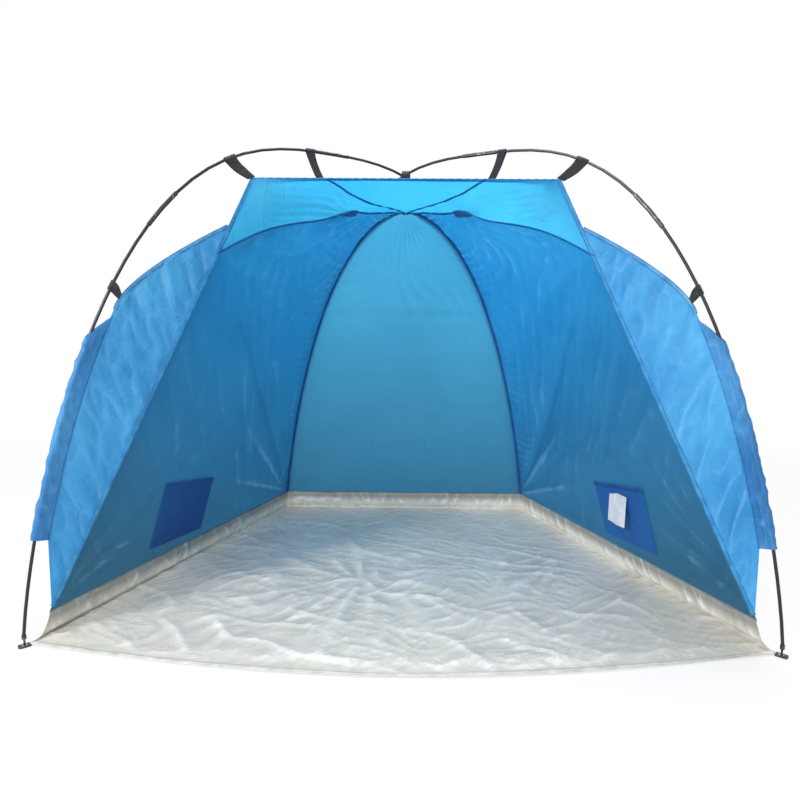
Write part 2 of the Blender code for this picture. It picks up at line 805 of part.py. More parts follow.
def wall_place(side, along_share, up_share, off):
    """A place off the inner face of a side wall, by shares along the rim and up the wall."""
    grid = side_grid(side)
    high, wide = len(grid) - 1, len(grid[0]) - 1
    row = (1 - up_share) * high
    column = along_share * wide
    r, c = min(int(row), high - 1), min(int(column), wide - 1)
    fr, fc = row - r, column - c
    top = grid[r][c].lerp(grid[r][c + 1], fc)
    low = grid[r + 1][c].lerp(grid[r + 1][c + 1], fc)
    place = top.lerp(low, fr)
    down = (low - top).normalized()
    along = (grid[r][c + 1] - grid[r][c]).normalized()
    normal = along.cross(down).normalized()
    if normal.x * side > 0:
        normal = -normal
    return place + normal * off, normal


def pocket(side, name):
    """Flat pocket sewn to the inside of a side wall, a little slack at its open top."""
    rows = []
    for row in range(5):
        up = POCKET_FOOT_SHARE + (POCKET_TOP_SHARE - POCKET_FOOT_SHARE) * row / 4
        line = []
        for column in range(5):
            along = POCKET_FRONT_SHARE + (POCKET_REAR_SHARE - POCKET_FRONT_SHARE) * column / 4
            slack = POCKET_SLACK * math.sin(math.pi * column / 4) * row / 4
            off = CLOTH * 1.5 + CLEARANCE + slack
            line.append(wall_place(side, along, up, off)[0])
        rows.append(line)
    return sheet_solid(name, rows, CLOTH, "pocket")


def tag_hinge():
    """Top edge of the tag: its two ends, just off the right pocket's top."""
    off = CLOTH * 2 + CLEARANCE + TAG_GAP + POCKET_SLACK
    up = POCKET_TOP_SHARE - (POCKET_TOP_SHARE - POCKET_FOOT_SHARE) / 8
    middle = wall_place(1, TAG_PLACE_SHARE, up, off)[0]
    along = wall_place(1, POCKET_REAR_SHARE, up, off)[0] - wall_place(1, POCKET_FRONT_SHARE, up, off)[0]
    along.z = 0
    along.normalize()
    return middle - along * TAG_WIDTH / 2, middle + along * TAG_WIDTH / 2


def tag():
    """Blank sewn-in tag that hangs straight down from its top edge."""
    a, b = tag_hinge()
    rows = []
    for row in range(4):
        drop = UP * (TAG_THICKNESS + TAG_DROP * row / 3)
        rows.append([a.lerp(b, column / 3) - drop for column in range(4)])
    return sheet_solid("tag", rows, TAG_THICKNESS, "tag")


def main():
    clear_scene()
    roof_panel()
    back_wall()
    groundsheet()
    crossing_strap()
    for side, label in ((-1, "left"), (1, "right")):
        side_wall(side, f"side_wall_{label}")
        front_wing(side, f"front_wing_{label}")
        sleeve(side, f"front_sleeve_{label}", FRONT_SLEEVE_END, FRONT_SLEEVE_TOP, False, FRONT_SLEEVE_DEPTH, 9)
        sleeve(-side, f"rear_sleeve_{label}", REAR_SLEEVE_END, REAR_SLEEVE_TOP, True, REAR_SLEEVE_DEPTH, 12)
        pocket(side, f"pocket_{label}")
        pole(side, label)
        corner = in_plane(side, ROOF_CORNER_RUN, ROOF_CORNER_HEIGHT)
        hung_strap(f"end_strap_{label}", side, END_STRAP_RUN, corner)
        peak = min(roof_seam(8), key=lambda place: abs(place[0] - PEAK_RUN))
        hung_strap(f"middle_strap_{label}", side, MID_STRAP_RUN, in_plane(side, *peak))
        tab_run = bow_run(SIDE_TAB_HEIGHT)
        hem_height = SIDE_TAB_HEIGHT - SIDE_TAB_DROP
        hem = in_plane(side, wing_edge_run(hem_height), hem_height)
        hung_strap(f"side_tab_{label}", side, tab_run, hem)
        for place, rear in (("front", False), ("rear", True)):
            owner = -side if rear else side
            foot = tip_place(owner, rear)
            heading = across(owner) * (1 if rear else -1)
            corner_tab(f"corner_tab_{place}_{label}", foot, heading)
            eyelet(f"eyelet_{place}_{label}", foot)
    tag()


main()
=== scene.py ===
# %% [markdown]
# # A beach tent
# Two bent poles cross over an open-fronted canopy, which hangs from them by black webbing.
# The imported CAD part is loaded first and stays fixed. Its hard pieces get better finishes, and its
# cloth is made again, finer, from the same driving sizes, so that each panel lies where its solid lies.

# %% Load the frame
import math

import bpy
import numpy as np
from mathutils import Matrix, Vector, noise


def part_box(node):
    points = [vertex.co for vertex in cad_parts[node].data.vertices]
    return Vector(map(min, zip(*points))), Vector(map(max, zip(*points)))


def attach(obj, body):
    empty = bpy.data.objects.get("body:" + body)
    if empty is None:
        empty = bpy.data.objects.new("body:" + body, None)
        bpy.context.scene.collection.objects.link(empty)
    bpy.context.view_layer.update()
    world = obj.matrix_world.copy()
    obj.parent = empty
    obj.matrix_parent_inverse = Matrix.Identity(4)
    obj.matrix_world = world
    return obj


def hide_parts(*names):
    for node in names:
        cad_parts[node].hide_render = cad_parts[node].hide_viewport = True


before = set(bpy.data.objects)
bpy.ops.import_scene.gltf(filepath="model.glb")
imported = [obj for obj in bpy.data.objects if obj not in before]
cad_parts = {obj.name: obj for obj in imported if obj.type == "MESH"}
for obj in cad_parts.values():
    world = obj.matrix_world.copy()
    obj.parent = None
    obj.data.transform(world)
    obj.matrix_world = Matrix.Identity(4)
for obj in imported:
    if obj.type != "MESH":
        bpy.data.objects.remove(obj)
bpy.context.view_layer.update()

# %% [markdown]
# ## Driving sizes
# A canopy like this is cut from flat panels whose edges all lie in the poles' two upright planes.
# Working in such a plane, with a run along the ground and a height, turns each seam into a short
# formula. The other way, placing every point in space, would leave gaps between neighbours.

# %% Driving sizes, in metres
FRONT_WIDTH = 2.04
REAR_WIDTH = 1.08
FOOT_DEPTH = 1.20
POLE_HEIGHT = 1.397
BOW_RUN_SHARE = 2.88
BOW_RISE_SHARE = 1.29
POLE_DIAMETER = 0.009
APEX_DROP = 0.129
APEX_HALF = 0.011
ROOF_CORNER_RUN = 0.700
ROOF_CORNER_HEIGHT = 1.290
CHORD_FOOT_RUN = 0.026
ROOF_SEAM_END_HEIGHT = 1.062
RIM_HEIGHT = 0.082
REAR_SLEEVE_DEPTH = 0.019
PLANE_LENGTH = math.hypot((FRONT_WIDTH + REAR_WIDTH) / 2, FOOT_DEPTH)
CROSS_RUN = PLANE_LENGTH * FRONT_WIDTH / (FRONT_WIDTH + REAR_WIDTH)
UP = np.array([0.0, 0.0, 1.0])
SIDES = ((-1, "left"), (1, "right"))


def unit(vector):
    """The vector, or each of many vectors, at length one."""
    vector = np.asarray(vector, float)
    length = np.linalg.norm(vector, axis=-1, keepdims=True)
    return vector / np.maximum(length, 1e-12)


def across(side):
    """Direction along the ground from a pole's front foot to its rear foot."""
    return unit([-side * (FRONT_WIDTH + REAR_WIDTH) / 2, FOOT_DEPTH, 0])


def in_plane(side, run, height):
    """Places at runs and heights in the plane of the pole whose front foot is on that side."""
    run = np.asarray(run, float)[..., None]
    height = np.asarray(height, float)[..., None]
    foot = np.array([side * FRONT_WIDTH / 2, -FOOT_DEPTH / 2, 0])
    return foot + across(side) * run + UP * height


def bow_height(run):
    """Height of the bent pole over a run: a rounded arch, steep at both feet."""
    middle = np.abs(2 * np.asarray(run, float) / PLANE_LENGTH - 1)
    return POLE_HEIGHT * np.clip(1 - middle**BOW_RUN_SHARE, 0, None) ** (1 / BOW_RISE_SHARE)


def bow_run(height, rear=False):
    """Run at which the bow has a height, on its front half or its rear half."""
    middle = (1 - (height / POLE_HEIGHT) ** BOW_RISE_SHARE) ** (1 / BOW_RUN_SHARE)
    reach = PLANE_LENGTH / 2 * middle
    return PLANE_LENGTH / 2 + (reach if rear else -reach)


def inward(run):
    """In-plane normal of the bow at runs, pointing into the tent, as (run part, height part)."""
    step = PLANE_LENGTH / 4000
    low = np.clip(np.asarray(run, float) - step, step, PLANE_LENGTH - 2 * step)
    slope = (bow_height(low + 2 * step) - bow_height(low)) / (2 * step)
    length = np.hypot(1, slope)
    return slope / length, -1 / length


print("plane length", round(PLANE_LENGTH, 3), "poles cross at run", round(CROSS_RUN, 3))

# %% [markdown]
# ## The seams
# Four lines carry the whole canopy: the taut front edge, the roof seam that a strap pulls up to a
# small peak, and the rear ridge under the pole. Each is a function of a share from 0 to 1, so a
# panel can be as fine as it has to be without a new table of points.

# %% Seams
ROOF_SEAM_DIP = 0.020
ROOF_SEAM_DIP_SHARE = 1.2
ROOF_SEAM_FALL_SHARE = 2.4
PEAK_RUN = 1.040
PEAK_HEIGHT = 0.022
PEAK_REACH = 0.060
REAR_FALL_SHARE = 2.5
REAR_STEP_SHARE = 0.9
SEAT = REAR_SLEEVE_DEPTH + 0.0003
APEX = bow_height(CROSS_RUN) - APEX_DROP


def chord_run(height):
    """Run of the straight front edge at a height."""
    return CHORD_FOOT_RUN + (ROOF_CORNER_RUN - CHORD_FOOT_RUN) * height / ROOF_CORNER_HEIGHT


def roof_seam(share):
    """(run, height) from the apex to the front edge, lifted to a peak by the middle strap."""
    start = CROSS_RUN - APEX_HALF
    run = start + (chord_run(ROOF_SEAM_END_HEIGHT) - start) * share
    fall = (APEX - ROOF_SEAM_END_HEIGHT) * share**ROOF_SEAM_FALL_SHARE
    dip = ROOF_SEAM_DIP * np.sin(math.pi * np.minimum(1.0, share * ROOF_SEAM_DIP_SHARE)) ** 2
    peak = PEAK_HEIGHT * np.exp(-(((run - PEAK_RUN) / PEAK_REACH) ** 2))
    return run, APEX - fall - dip + peak


def rear_ridge(share):
    """(run, height) from the apex down to the rear rim, closing on the pole's sleeve."""
    last = bow_run(RIM_HEIGHT, rear=True)
    step = np.sin(math.pi / 2 * share) ** REAR_STEP_SHARE
    run = CROSS_RUN + (last - CROSS_RUN) * step
    reach = (run - CROSS_RUN) / (PLANE_LENGTH - CROSS_RUN)
    depth = SEAT + (APEX_DROP - SEAT) * (1 - reach) ** REAR_FALL_SHARE
    normal = inward(run)
    line_run = run + normal[0] * depth
    line_height = bow_height(run) + normal[1] * depth
    top = np.clip(1 - share * 14, 0, 1)
    line_run += top * (CROSS_RUN + APEX_HALF - line_run)
    return line_run, line_height + top * (APEX - line_height)


def front_edge(share):
    """(run, height) of a side wall's front: the roof seam, then the taut front edge."""
    seam = roof_seam(np.minimum(share * 2, 1.0))
    height = ROOF_SEAM_END_HEIGHT + (RIM_HEIGHT - ROOF_SEAM_END_HEIGHT) * (share * 2 - 1)
    low = share > 0.5
    return np.where(low, chord_run(height), seam[0]), np.where(low, height, seam[1])


print("apex height", round(float(APEX), 3), "roof hem height", ROOF_CORNER_HEIGHT)

# %% [markdown]
# ## The camera
# The picture was taken from about eye level in front of the tent, a little right of the middle.
# The view comes first, because every later choice of light and detail is judged through it.

# %% Camera
scene = bpy.context.scene
scene.view_settings.view_transform = "Standard"
EYE = Vector((0.0098, -2.2379, 0.9469))
YAW = math.radians(-0.6011)
PITCH = math.radians(9.1272)
ROLL = math.radians(0.4294)
FOCAL_PIXELS = 657.5
FRAME_PIXELS = 800
SENSOR = 36.0

ahead = Vector((math.sin(YAW) * math.cos(PITCH), math.cos(YAW) * math.cos(PITCH), -math.sin(PITCH)))
level_right = Vector((math.cos(YAW), -math.sin(YAW), 0))
level_up = level_right.cross(ahead)
right = level_right * math.cos(ROLL) + level_up * math.sin(ROLL)
top = level_up * math.cos(ROLL) - level_right * math.sin(ROLL)
turn = Matrix((right, top, -ahead)).transposed().to_4x4()
camera = bpy.data.objects.new("camera", bpy.data.cameras.new("camera"))
scene.collection.objects.link(camera)
camera.matrix_world = Matrix.Translation(EYE) @ turn
camera.data.sensor_width = SENSOR
camera.data.lens = SENSOR * FOCAL_PIXELS / FRAME_PIXELS
camera.data.clip_start = 0.05
camera.data.clip_end = 200
scene.camera = camera
print("lens", round(camera.data.lens, 2), "mm")

# %% [markdown]
# ## Building finishes from nodes
# Every finish here is a short chain of nodes. A small class holds a node tree and has a short name
# for each kind of step, so that a finish reads as a recipe: what varies the colour, what raises the
# surface, what shines. Spelling out every node and link would hide that in many more lines.

# %% Node helpers
def paint(colour):
    """A screen colour, each part up to 255, as the linear colour that a shader wants."""
    parts = [part / 255 for part in colour]
    return (*(part / 12.92 if part <= 0.04045 else ((part + 0.055) / 1.055) ** 2.4 for part in parts), 1.0)


class Recipe:
    """A node tree, with a short name for each step that a finish is made of."""

    def __init__(self, tree):
        self.tree = tree
        tree.nodes.clear()

    def node(self, kind, inputs=None, **settings):
        """A shader node with its settings, and its sockets filled by value or by link."""
        made = self.tree.nodes.new("ShaderNode" + kind)
        for key, value in settings.items():
            setattr(made, key, value)
        for key, value in (inputs or {}).items():
            if isinstance(value, bpy.types.NodeSocket):
                self.tree.links.new(value, made.inputs[key])
            else:
                made.inputs[key].default_value = value
        return made

    def calc(self, operation, *values):
        """A math node's result."""
        return self.node("Math", dict(enumerate(values)), operation=operation).outputs[0]

    def times(self, one, other):
        return self.calc("MULTIPLY", one, other)

    def plus(self, one, other):
        return self.calc("ADD", one, other)

    def size(self, value):
        """A value without its sign."""
        return self.calc("ABSOLUTE", value)

    def wave(self, value, spacing):
        """A sine that repeats at a spacing."""
        return self.calc("SINE", self.times(value, 2 * math.pi / spacing))

    def split(self, vector):
        """The x, y and z of a vector."""
        return self.node("SeparateXYZ", {0: vector}).outputs

    def ramp(self, value, low, high):
        """A value spread so that low gives 0 and high gives 1."""
        return self.node("MapRange", {0: value, 1: low, 2: high}, clamp=True).outputs[0]

    def mix(self, share, first, second):
        """One colour or the other, or a mix, by a share."""
        first, second = [paint(each) if isinstance(each, tuple) else each for each in (first, second)]
        return self.node("Mix", {0: share, 6: first, 7: second}, data_type="RGBA").outputs[2]

    def bump(self, height, depth, normal=None):
        """A bump of a depth in metres, on top of another if there is one."""
        inputs = {"Height": height, "Distance": depth, "Strength": 1.0}
        if normal is not None:
            inputs["Normal"] = normal
        return self.node("Bump", inputs).outputs[0]


class Finish(Recipe):
    """A new material's recipe. place is in metres on the tent, and cut in metres on the flat cloth."""

    def __init__(self, name):
        self.made = bpy.data.materials.new(name)
        self.made.use_nodes = True
        super().__init__(self.made.node_tree)
        self.output = self.node("OutputMaterial")
        self.cut = self.node("UVMap", uv_map="cut").outputs[0]
        self.place = self.node("TexCoord").outputs["Object"]

    def mottle(self, scale, detail=3.0, distortion=0.0, place=None):
        """Cloudy noise of 0 to 1."""
        place = self.place if place is None else place
        inputs = {"Vector": place, "Scale": scale, "Detail": detail, "Distortion": distortion}
        return self.node("TexNoise", inputs).outputs[0]

    def weave(self, spacing):
        """Plain weave height from the cloth's own cut coordinates."""
        return self.times(*[self.wave(part, spacing) for part in self.split(self.cut)[:2]])

    def folds(self):
        """How far the cloth stands proud as a crest and lies sunk as a trough, each 0 to 1."""
        proud = self.split(self.node("UVMap", uv_map="fold").outputs[0])[0]
        return self.calc("POWER", self.ramp(proud, 0.0, 1.0), 2.2), self.ramp(proud, 0.0, -1.0)

    def coat(self, colour, roughness, normal, thin=None, share=0.0, **more):
        """The material: a coat that reflects and, for a share, light that comes through thin cloth."""
        inputs = {"Base Color": colour, "Roughness": roughness, "Normal": normal}
        inputs.update({key.replace("_", " "): value for key, value in more.items()})
        shader = self.node("BsdfPrincipled", inputs).outputs[0]
        if thin is not None:
            glow = self.node("BsdfTranslucent", {"Color": thin, "Normal": normal}).outputs[0]
            shader = self.node("MixShader", {0: share, 1: shader, 2: glow}).outputs[0]
        self.tree.links.new(shader, self.output.inputs["Surface"])
        return self.made


print("node helpers ready")

# %% [markdown]
# ## Canopy cloth
# The canopy is thin coated polyester. Daylight comes through it, which is why its inside glows, so
# the finish mixes a plain reflecting shader with a translucent one. A fine weave, soft crinkles and
# the faint straight creases left by packing raise the surface. A sheet of glass-like transmission
# would look wet; translucency scatters the light as cloth does. Where the mesh itself folds, its
# second layer of coordinates says how proud each place stands, so crests get a painted highlight
# and hollows painted shade.

# %% Cloth finishes
THREAD = 0.0011
THREAD_HEIGHT = 0.00006
PACKING_FOLD = 0.235
PACKING_HEIGHT = 0.0012
# Painted highlight on fold crests: as the coat shows it, and as light comes through.
PAINTED_CREST_HIGHLIGHT = (160, 212, 246)
LIT_CREST = (130, 200, 244)


def packing_lines(mat):
    """Thin lines of 0 to 1 where the cloth was folded flat, a little wandering and uneven."""
    drift = mat.times(mat.mottle(5.0), 0.05)
    lines = []
    for part in mat.split(mat.cut)[:2]:
        turns = mat.calc("FRACT", mat.times(mat.plus(part, drift), 1 / PACKING_FOLD))
        lines.append(mat.ramp(mat.size(mat.calc("SUBTRACT", turns, 0.5)), 0.014, 0.0))
    return mat.times(mat.calc("MAXIMUM", *lines), mat.ramp(mat.mottle(3.0), 0.42, 0.62))


def cloth_finish(
    name, deep, pale, through, share, low=None, lean=0.0, painted_fold_shading=0.14, roughness=0.5, crinkle=0.0016,
):
    """Thin woven cloth: colour varies from deep to pale, and through is what daylight shows.

    low is the darker colour that the cloth is painted near the ground, as shade where less light
    comes through it, and lean is how much further up it reaches at the front than at the back. The
    fold shading share says how strongly the crests of its creases are painted pale, as highlight,
    and its troughs dark, as shade.
    """
    mat = Finish(name)
    cloud, crease, spots = mat.mottle(2.2, 4.0, 0.4), packing_lines(mat), mat.mottle(34.0, 2.0)
    tone = mat.plus(mat.ramp(cloud, 0.32, 0.7), mat.times(crease, 0.20))
    tone = mat.plus(tone, mat.times(mat.calc("SUBTRACT", spots, 0.5), 0.25))
    colour, thin = mat.mix(tone, deep, pale), mat.mix(mat.times(tone, 0.6), through, pale)
    # low paints shade: the cloth is darker near the ground, where less light comes through it.
    if low:
        parts = mat.split(mat.place)
        tall = mat.plus(parts[2], mat.times(parts[1], lean))
        unshaded_share = mat.ramp(mat.plus(tall, mat.times(cloud, 0.25)), 0.08, 1.05)
        colour, thin = mat.mix(unshaded_share, low, colour), mat.mix(unshaded_share, low, thin)
    # Crests are painted pale as highlight and troughs dark as shade, by how proud the mesh's folds stand.
    crest, trough = [mat.times(part, painted_fold_shading) for part in mat.folds()]
    shade = mat.mix(0.5, deep, (0, 0, 0))
    colour = mat.mix(trough, mat.mix(crest, colour, PAINTED_CREST_HIGHLIGHT), shade)
    thin = mat.mix(trough, mat.mix(crest, thin, LIT_CREST), shade)
    normal = mat.bump(crease, PACKING_HEIGHT, mat.bump(mat.mottle(24.0, 5.0, 1.1), crinkle))
    normal = mat.bump(mat.weave(THREAD), THREAD_HEIGHT, normal)
    return mat.coat(colour, roughness, normal, thin, share, Specular_IOR_Level=0.35)


roof_finish = cloth_finish("roof_cloth", (30, 138, 202), (74, 188, 230), (54, 178, 228), 0.5)
# The side walls' low colour is painted shade near the ground.
wall_finish = cloth_finish(
    "wall_cloth", (26, 106, 168), (46, 136, 190), (30, 132, 194), 0.5,
    low=(47, 97, 125), lean=0.45, painted_fold_shading=0.20,
)
# The back wall's low colour is painted shade near the ground.
back_finish = cloth_finish(
    "back_cloth", (54, 146, 190), (72, 166, 206), (66, 168, 212), 0.5,
    low=(54, 116, 152), painted_fold_shading=0.10, crinkle=0.0010,
)
wing_finish = cloth_finish(
    "wing_cloth", (36, 124, 192), (84, 178, 232), (54, 156, 222), 0.3,
    painted_fold_shading=0.28, roughness=0.30, crinkle=0.0080,
)
sleeve_finish = cloth_finish(
    "sleeve_cloth", (28, 108, 180), (84, 168, 228), (44, 134, 205), 0.2,
    painted_fold_shading=0.30, roughness=0.32, crinkle=0.0040,
)
rear_sleeve_finish = cloth_finish("rear_sleeve_cloth", (8, 66, 134), (18, 92, 164), (10, 84, 150), 0.15)
pocket_finish = cloth_finish(
    "pocket_cloth", (14, 74, 140), (30, 100, 172), (20, 88, 160), 0.12, roughness=0.6,
)
print("cloth finishes", [made.name for made in bpy.data.materials if "cloth" in made.name])

# %% [markdown]
# ## Stitched hems and webbing
# Hems are the cloth folded twice and sewn. Thread shows as two rows of small dashes. Drawing them
# from the strip's own length and width keeps each stitch about 3 mm long on every hem, which no
# picture of stitches could do on strips of different lengths.

# %% Hem, webbing and tape finishes
STITCH = 0.0034
STITCH_WIDTH = 0.0007
RIB = 0.0022
YARN = 0.0026


def sewn_finish(name, deep, pale, thread, offset, share=0.3):
    """A folded strip with puckers, and two rows of stitches at an offset from its middle."""
    mat = Finish(name)
    along, aside = mat.split(mat.cut)[:2]
    dash = mat.calc("LESS_THAN", mat.calc("FRACT", mat.times(along, 1 / STITCH)), 0.68)
    away = mat.size(mat.calc("SUBTRACT", mat.size(aside), offset))
    stitches = mat.times(dash, mat.calc("LESS_THAN", away, STITCH_WIDTH))
    colour = mat.mix(stitches, mat.mix(mat.ramp(mat.mottle(30.0), 0.3, 0.7), deep, pale), thread)
    normal = mat.bump(stitches, 0.0005, mat.bump(mat.mottle(90.0, 2.0, 0.6), 0.0012))
    normal = mat.bump(mat.weave(THREAD), THREAD_HEIGHT, normal)
    return mat.coat(colour, 0.55, normal, colour, share)


def webbing_finish():
    """Black ribbed polypropylene tape: crosswise ribs, a herringbone lean and dusty high threads."""
    mat = Finish("webbing")
    along, aside = mat.split(mat.cut)[:2]
    rib = mat.wave(mat.plus(along, mat.times(mat.size(aside), 0.8)), RIB)
    height = mat.plus(rib, mat.times(mat.wave(aside, YARN), 0.6))
    dust = mat.times(mat.ramp(height, -0.8, 1.5), mat.ramp(mat.mottle(40.0), 0.3, 0.8))
    normal = mat.bump(mat.mottle(120.0), 0.0006, mat.bump(height, 0.0003))
    return mat.coat(mat.mix(dust, (14, 14, 17), (66, 66, 72)), 0.68, normal, Sheen_Weight=0.2)


hem_finish = sewn_finish("roof_hem", (40, 138, 206), (84, 184, 236), (26, 104, 172), 0.0042)
wing_hem_finish = sewn_finish("wing_hem", (58, 142, 204), (118, 194, 238), (34, 108, 172), 0.0042)
seam_finish = sewn_finish("wall_seam", (26, 108, 182), (46, 138, 208), (16, 78, 146), 0.0026, 0.4)
ridge_finish = sewn_finish("ridge_tape", (8, 66, 140), (18, 92, 170), (6, 50, 110), 0.0075, 0.1)
foot_seam_finish = sewn_finish("foot_seam", (96, 120, 134), (128, 146, 154), (70, 90, 104), 0.0026, 0.0)
pocket_hem_finish = sewn_finish("pocket_hem", (14, 70, 140), (26, 92, 166), (8, 50, 108), 0.0042, 0.1)
# The patch is real doubled cloth; its dark colour is painted shade for light the two layers hold back.
patch_finish = sewn_finish("patch", (20, 76, 134), (34, 100, 160), (14, 56, 104), 0.0150, 0.1)
binding_finish = sewn_finish("sheet_binding", (196, 196, 188), (232, 232, 226), (150, 150, 146), 0.0045, 0.0)
webbing = webbing_finish()
print("sewn finishes ready")

# %% [markdown]
# ## Hard finishes
# The poles are glass-fibre tubes: black, satin, with faint lengthwise streaks where the fibres
# run. Tips and ferrules are blackened steel worn bright in places, the eyelets plain pressed
# steel, and the cord inside the poles is braided elastic. Each CAD node keeps its shape here.

# %% Hard finishes
SHARP_EDGE = math.radians(50)


def hard_finish(name, dark, light, roughness, metallic, stretch, wear):
    """A satin surface with streaks along z, scratches, and a rubbed tint in patches."""
    mat = Finish(name)
    lengthwise = mat.node("Mapping", {0: mat.place, 3: (1.0, 1.0, stretch)}).outputs[0]
    streak = mat.mottle(420.0, 4.0, place=lengthwise)
    rubbed = mat.ramp(mat.mottle(60.0, 5.0, 0.8), wear, wear + 0.18)
    colour = mat.mix(mat.plus(mat.times(streak, 0.35), mat.times(rubbed, 0.65)), dark, light)
    shine = mat.plus(mat.times(streak, 0.22), roughness - 0.1)
    normal = mat.bump(mat.mottle(900.0, 2.0), 0.00004, mat.bump(streak, 0.00006))
    return mat.coat(colour, shine, normal, Metallic=metallic)


FINISH_OF = {
    "pole": hard_finish("fibre_pole", (16, 16, 18), (58, 58, 62), 0.42, 0.0, 0.12, 0.62),
    "ferrule": hard_finish("blackened_steel", (40, 40, 43), (150, 150, 152), 0.36, 1.0, 0.3, 0.56),
    "eyelet": hard_finish("pressed_steel", (128, 128, 130), (190, 190, 188), 0.30, 1.0, 1.0, 0.45),
    "shock": hard_finish("braided_elastic", (180, 180, 174), (226, 226, 220), 0.80, 0.0, 1.0, 0.5),
}
FINISH_OF["tip"] = FINISH_OF["ferrule"]
for name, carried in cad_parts.items():
    kind = name.split("_")[0]
    if kind in FINISH_OF:
        carried.data.materials.clear()
        carried.data.materials.append(FINISH_OF[kind])
        carried.data.shade_smooth()
        carried.data.set_sharp_from_angle(angle=SHARP_EDGE)
print("carried over", sum(name.split("_")[0] in FINISH_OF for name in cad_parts), "hard pieces")

# %% [markdown]
# ## From a grid of places to a piece of cloth
# A panel starts as a grid of places on its smooth surface. It is then pushed along its normals by
# small folds, and each corner remembers its place on the flat cut in metres, for the weave. A cloth
# simulation could also make folds, but tight cloth moves so little that its pull lines are easier
# to state: they fan out from whatever pulls, and fade as they go.

# %% Grid helpers
def surface_normals(grid):
    """A unit normal for each place of a grid."""
    return unit(np.cross(np.gradient(grid, axis=1), np.gradient(grid, axis=0)))


def pushed(grid, height):
    """The grid moved along its normals, by a height at each place."""
    return grid + surface_normals(grid) * height[..., None]


def walked(line):
    """Distance walked along a line up to each of its places."""
    return np.concatenate([[0], np.cumsum(np.linalg.norm(np.diff(line, axis=0), axis=1))])


def cut_places(grid):
    """Each place's position on the flat cut in metres, counted from the grid's middle."""
    aside = np.array([walked(row) for row in grid])
    down = np.array([walked(column) for column in grid.swapaxes(0, 1)]).T
    return np.stack([aside - aside[:, [grid.shape[1] // 2]], down], axis=-1)


def add_piece(name, places, faces, finish, cut, slot, proud=None, body="tent", node_name=None):
    """A smooth mesh object that rides on a body and may stand for a CAD node.

    cut holds the places on the flat cloth, and proud how far its folds stand out there.
    """
    mesh = bpy.data.meshes.new(name)
    mesh.from_pydata(np.asarray(places, float).reshape(-1, 3).tolist(), [], faces)
    corners = np.zeros(len(mesh.loops), np.int32)
    mesh.loops.foreach_get("vertex_index", corners)
    layers = {"cut": cut}
    if proud is not None:
        layers["fold"] = np.stack([proud, np.zeros_like(proud)], axis=-1)
    for layer, flat in layers.items():
        flat = np.asarray(flat, np.float32).reshape(-1, 2)[corners]
        mesh.uv_layers.new(name=layer).data.foreach_set("uv", flat.ravel())
    mesh.materials.append(finish)
    mesh.shade_smooth()
    piece = bpy.data.objects.new(name, mesh)
    scene.collection.objects.link(piece)
    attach(piece, body)
    if node_name:
        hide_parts(node_name)
    return piece


def grid_faces(rows, columns, closed=False):
    """Four-cornered faces over a grid. A closed grid joins its last column to its first."""
    faces = []
    for row in range(rows - 1):
        for column in range(columns if closed else columns - 1):
            beyond = (column + 1) % columns
            low = (row + 1) * columns
            faces.append((row * columns + column, row * columns + beyond, low + beyond, low + column))
    return faces


def tube_faces(rows, columns):
    """Faces round a strip and over both its ends."""
    last = (rows - 1) * columns
    ends = [tuple(range(columns))[::-1], tuple(range(last, last + columns))]
    return grid_faces(rows, columns, closed=True) + ends


def add_cloth(name, grid, finish, slot, **more):
    """A panel from a grid of places."""
    return add_piece(name, grid, grid_faces(*grid.shape[:2]), finish, cut_places(grid), slot, **more)


def area_of(grid):
    """Area of a grid surface in square metres."""
    one, two = grid[1:, 1:] - grid[:-1, :-1], grid[1:, :-1] - grid[:-1, 1:]
    return round(float(np.linalg.norm(np.cross(one, two), axis=2).sum() / 2), 4)


def spanned(first, second, columns):
    """Places on straight lines from each place of one edge to its match on another."""
    share = np.linspace(0, 1, columns)[None, :, None]
    return first[:, None] * (1 - share) + second[:, None] * share


def shares(rows, columns):
    """Shares across and down a grid, each from 0 to 1."""
    return np.meshgrid(np.linspace(0, 1, columns), np.linspace(0, 1, rows))


def belly(rows, columns):
    """A share of 1 in the middle of a grid, falling to 0 at its edges."""
    along, down = shares(rows, columns)
    return np.sin(math.pi * down) * np.sin(math.pi * along)


def hem_mask(rows, columns, edge):
    """A share of 0 on all four edges that rises to 1 inside."""
    along, down = shares(rows, columns)
    nearest = np.minimum(np.minimum(down, 1 - down), np.minimum(along, 1 - along))
    share = np.clip(nearest / edge, 0, 1)
    return share * share * (3 - 2 * share)


print("grid helpers ready")

# %% [markdown]
# ## Folds
# Each fold is a height over a grid in metres, so that folds of several kinds simply add up. Noise
# makes the random ones. Its size is that of its lumps in metres, along all axes or along x, y and
# z, and its seed is where it is read, so the same seed gives the same folds on every run.

# %% Folds
EVENING_ROUNDS = 14
PUCKER = 0.034


def noise_at(places, size, seed, read):
    """What a noise reads at each place, with places counted in sizes."""
    scaled = (places / np.asarray(size, float) + seed).reshape(-1, 3)
    return np.array([read(Vector(place)) for place in scaled]).reshape(places.shape[:-1])


def soft_noise(places, size, seed):
    """Smooth lumps of about -1 to 1."""
    return noise_at(places, size, seed, noise.noise)


def crumple(places, size, seed):
    """Height of 0 to about 1 like crumpled foil: dimples with sharp ridges between them."""
    return noise_at(places, size, seed, lambda place: noise.voronoi(place)[0][0])


def ridged(places, size, seed):
    """Height of about -1 to 1 like wrinkles: sharp crests that wander between wide hollows."""
    return 1 - 2 * np.clip(np.abs(soft_noise(places, size, seed)) * 2.2, 0, 1) ** 0.7


def crisp(places, size, seed):
    """Height of 0 to 1: narrow creases with flat ground between them."""
    return (ridged(places, size, seed) / 2 + 0.5) ** 2.2


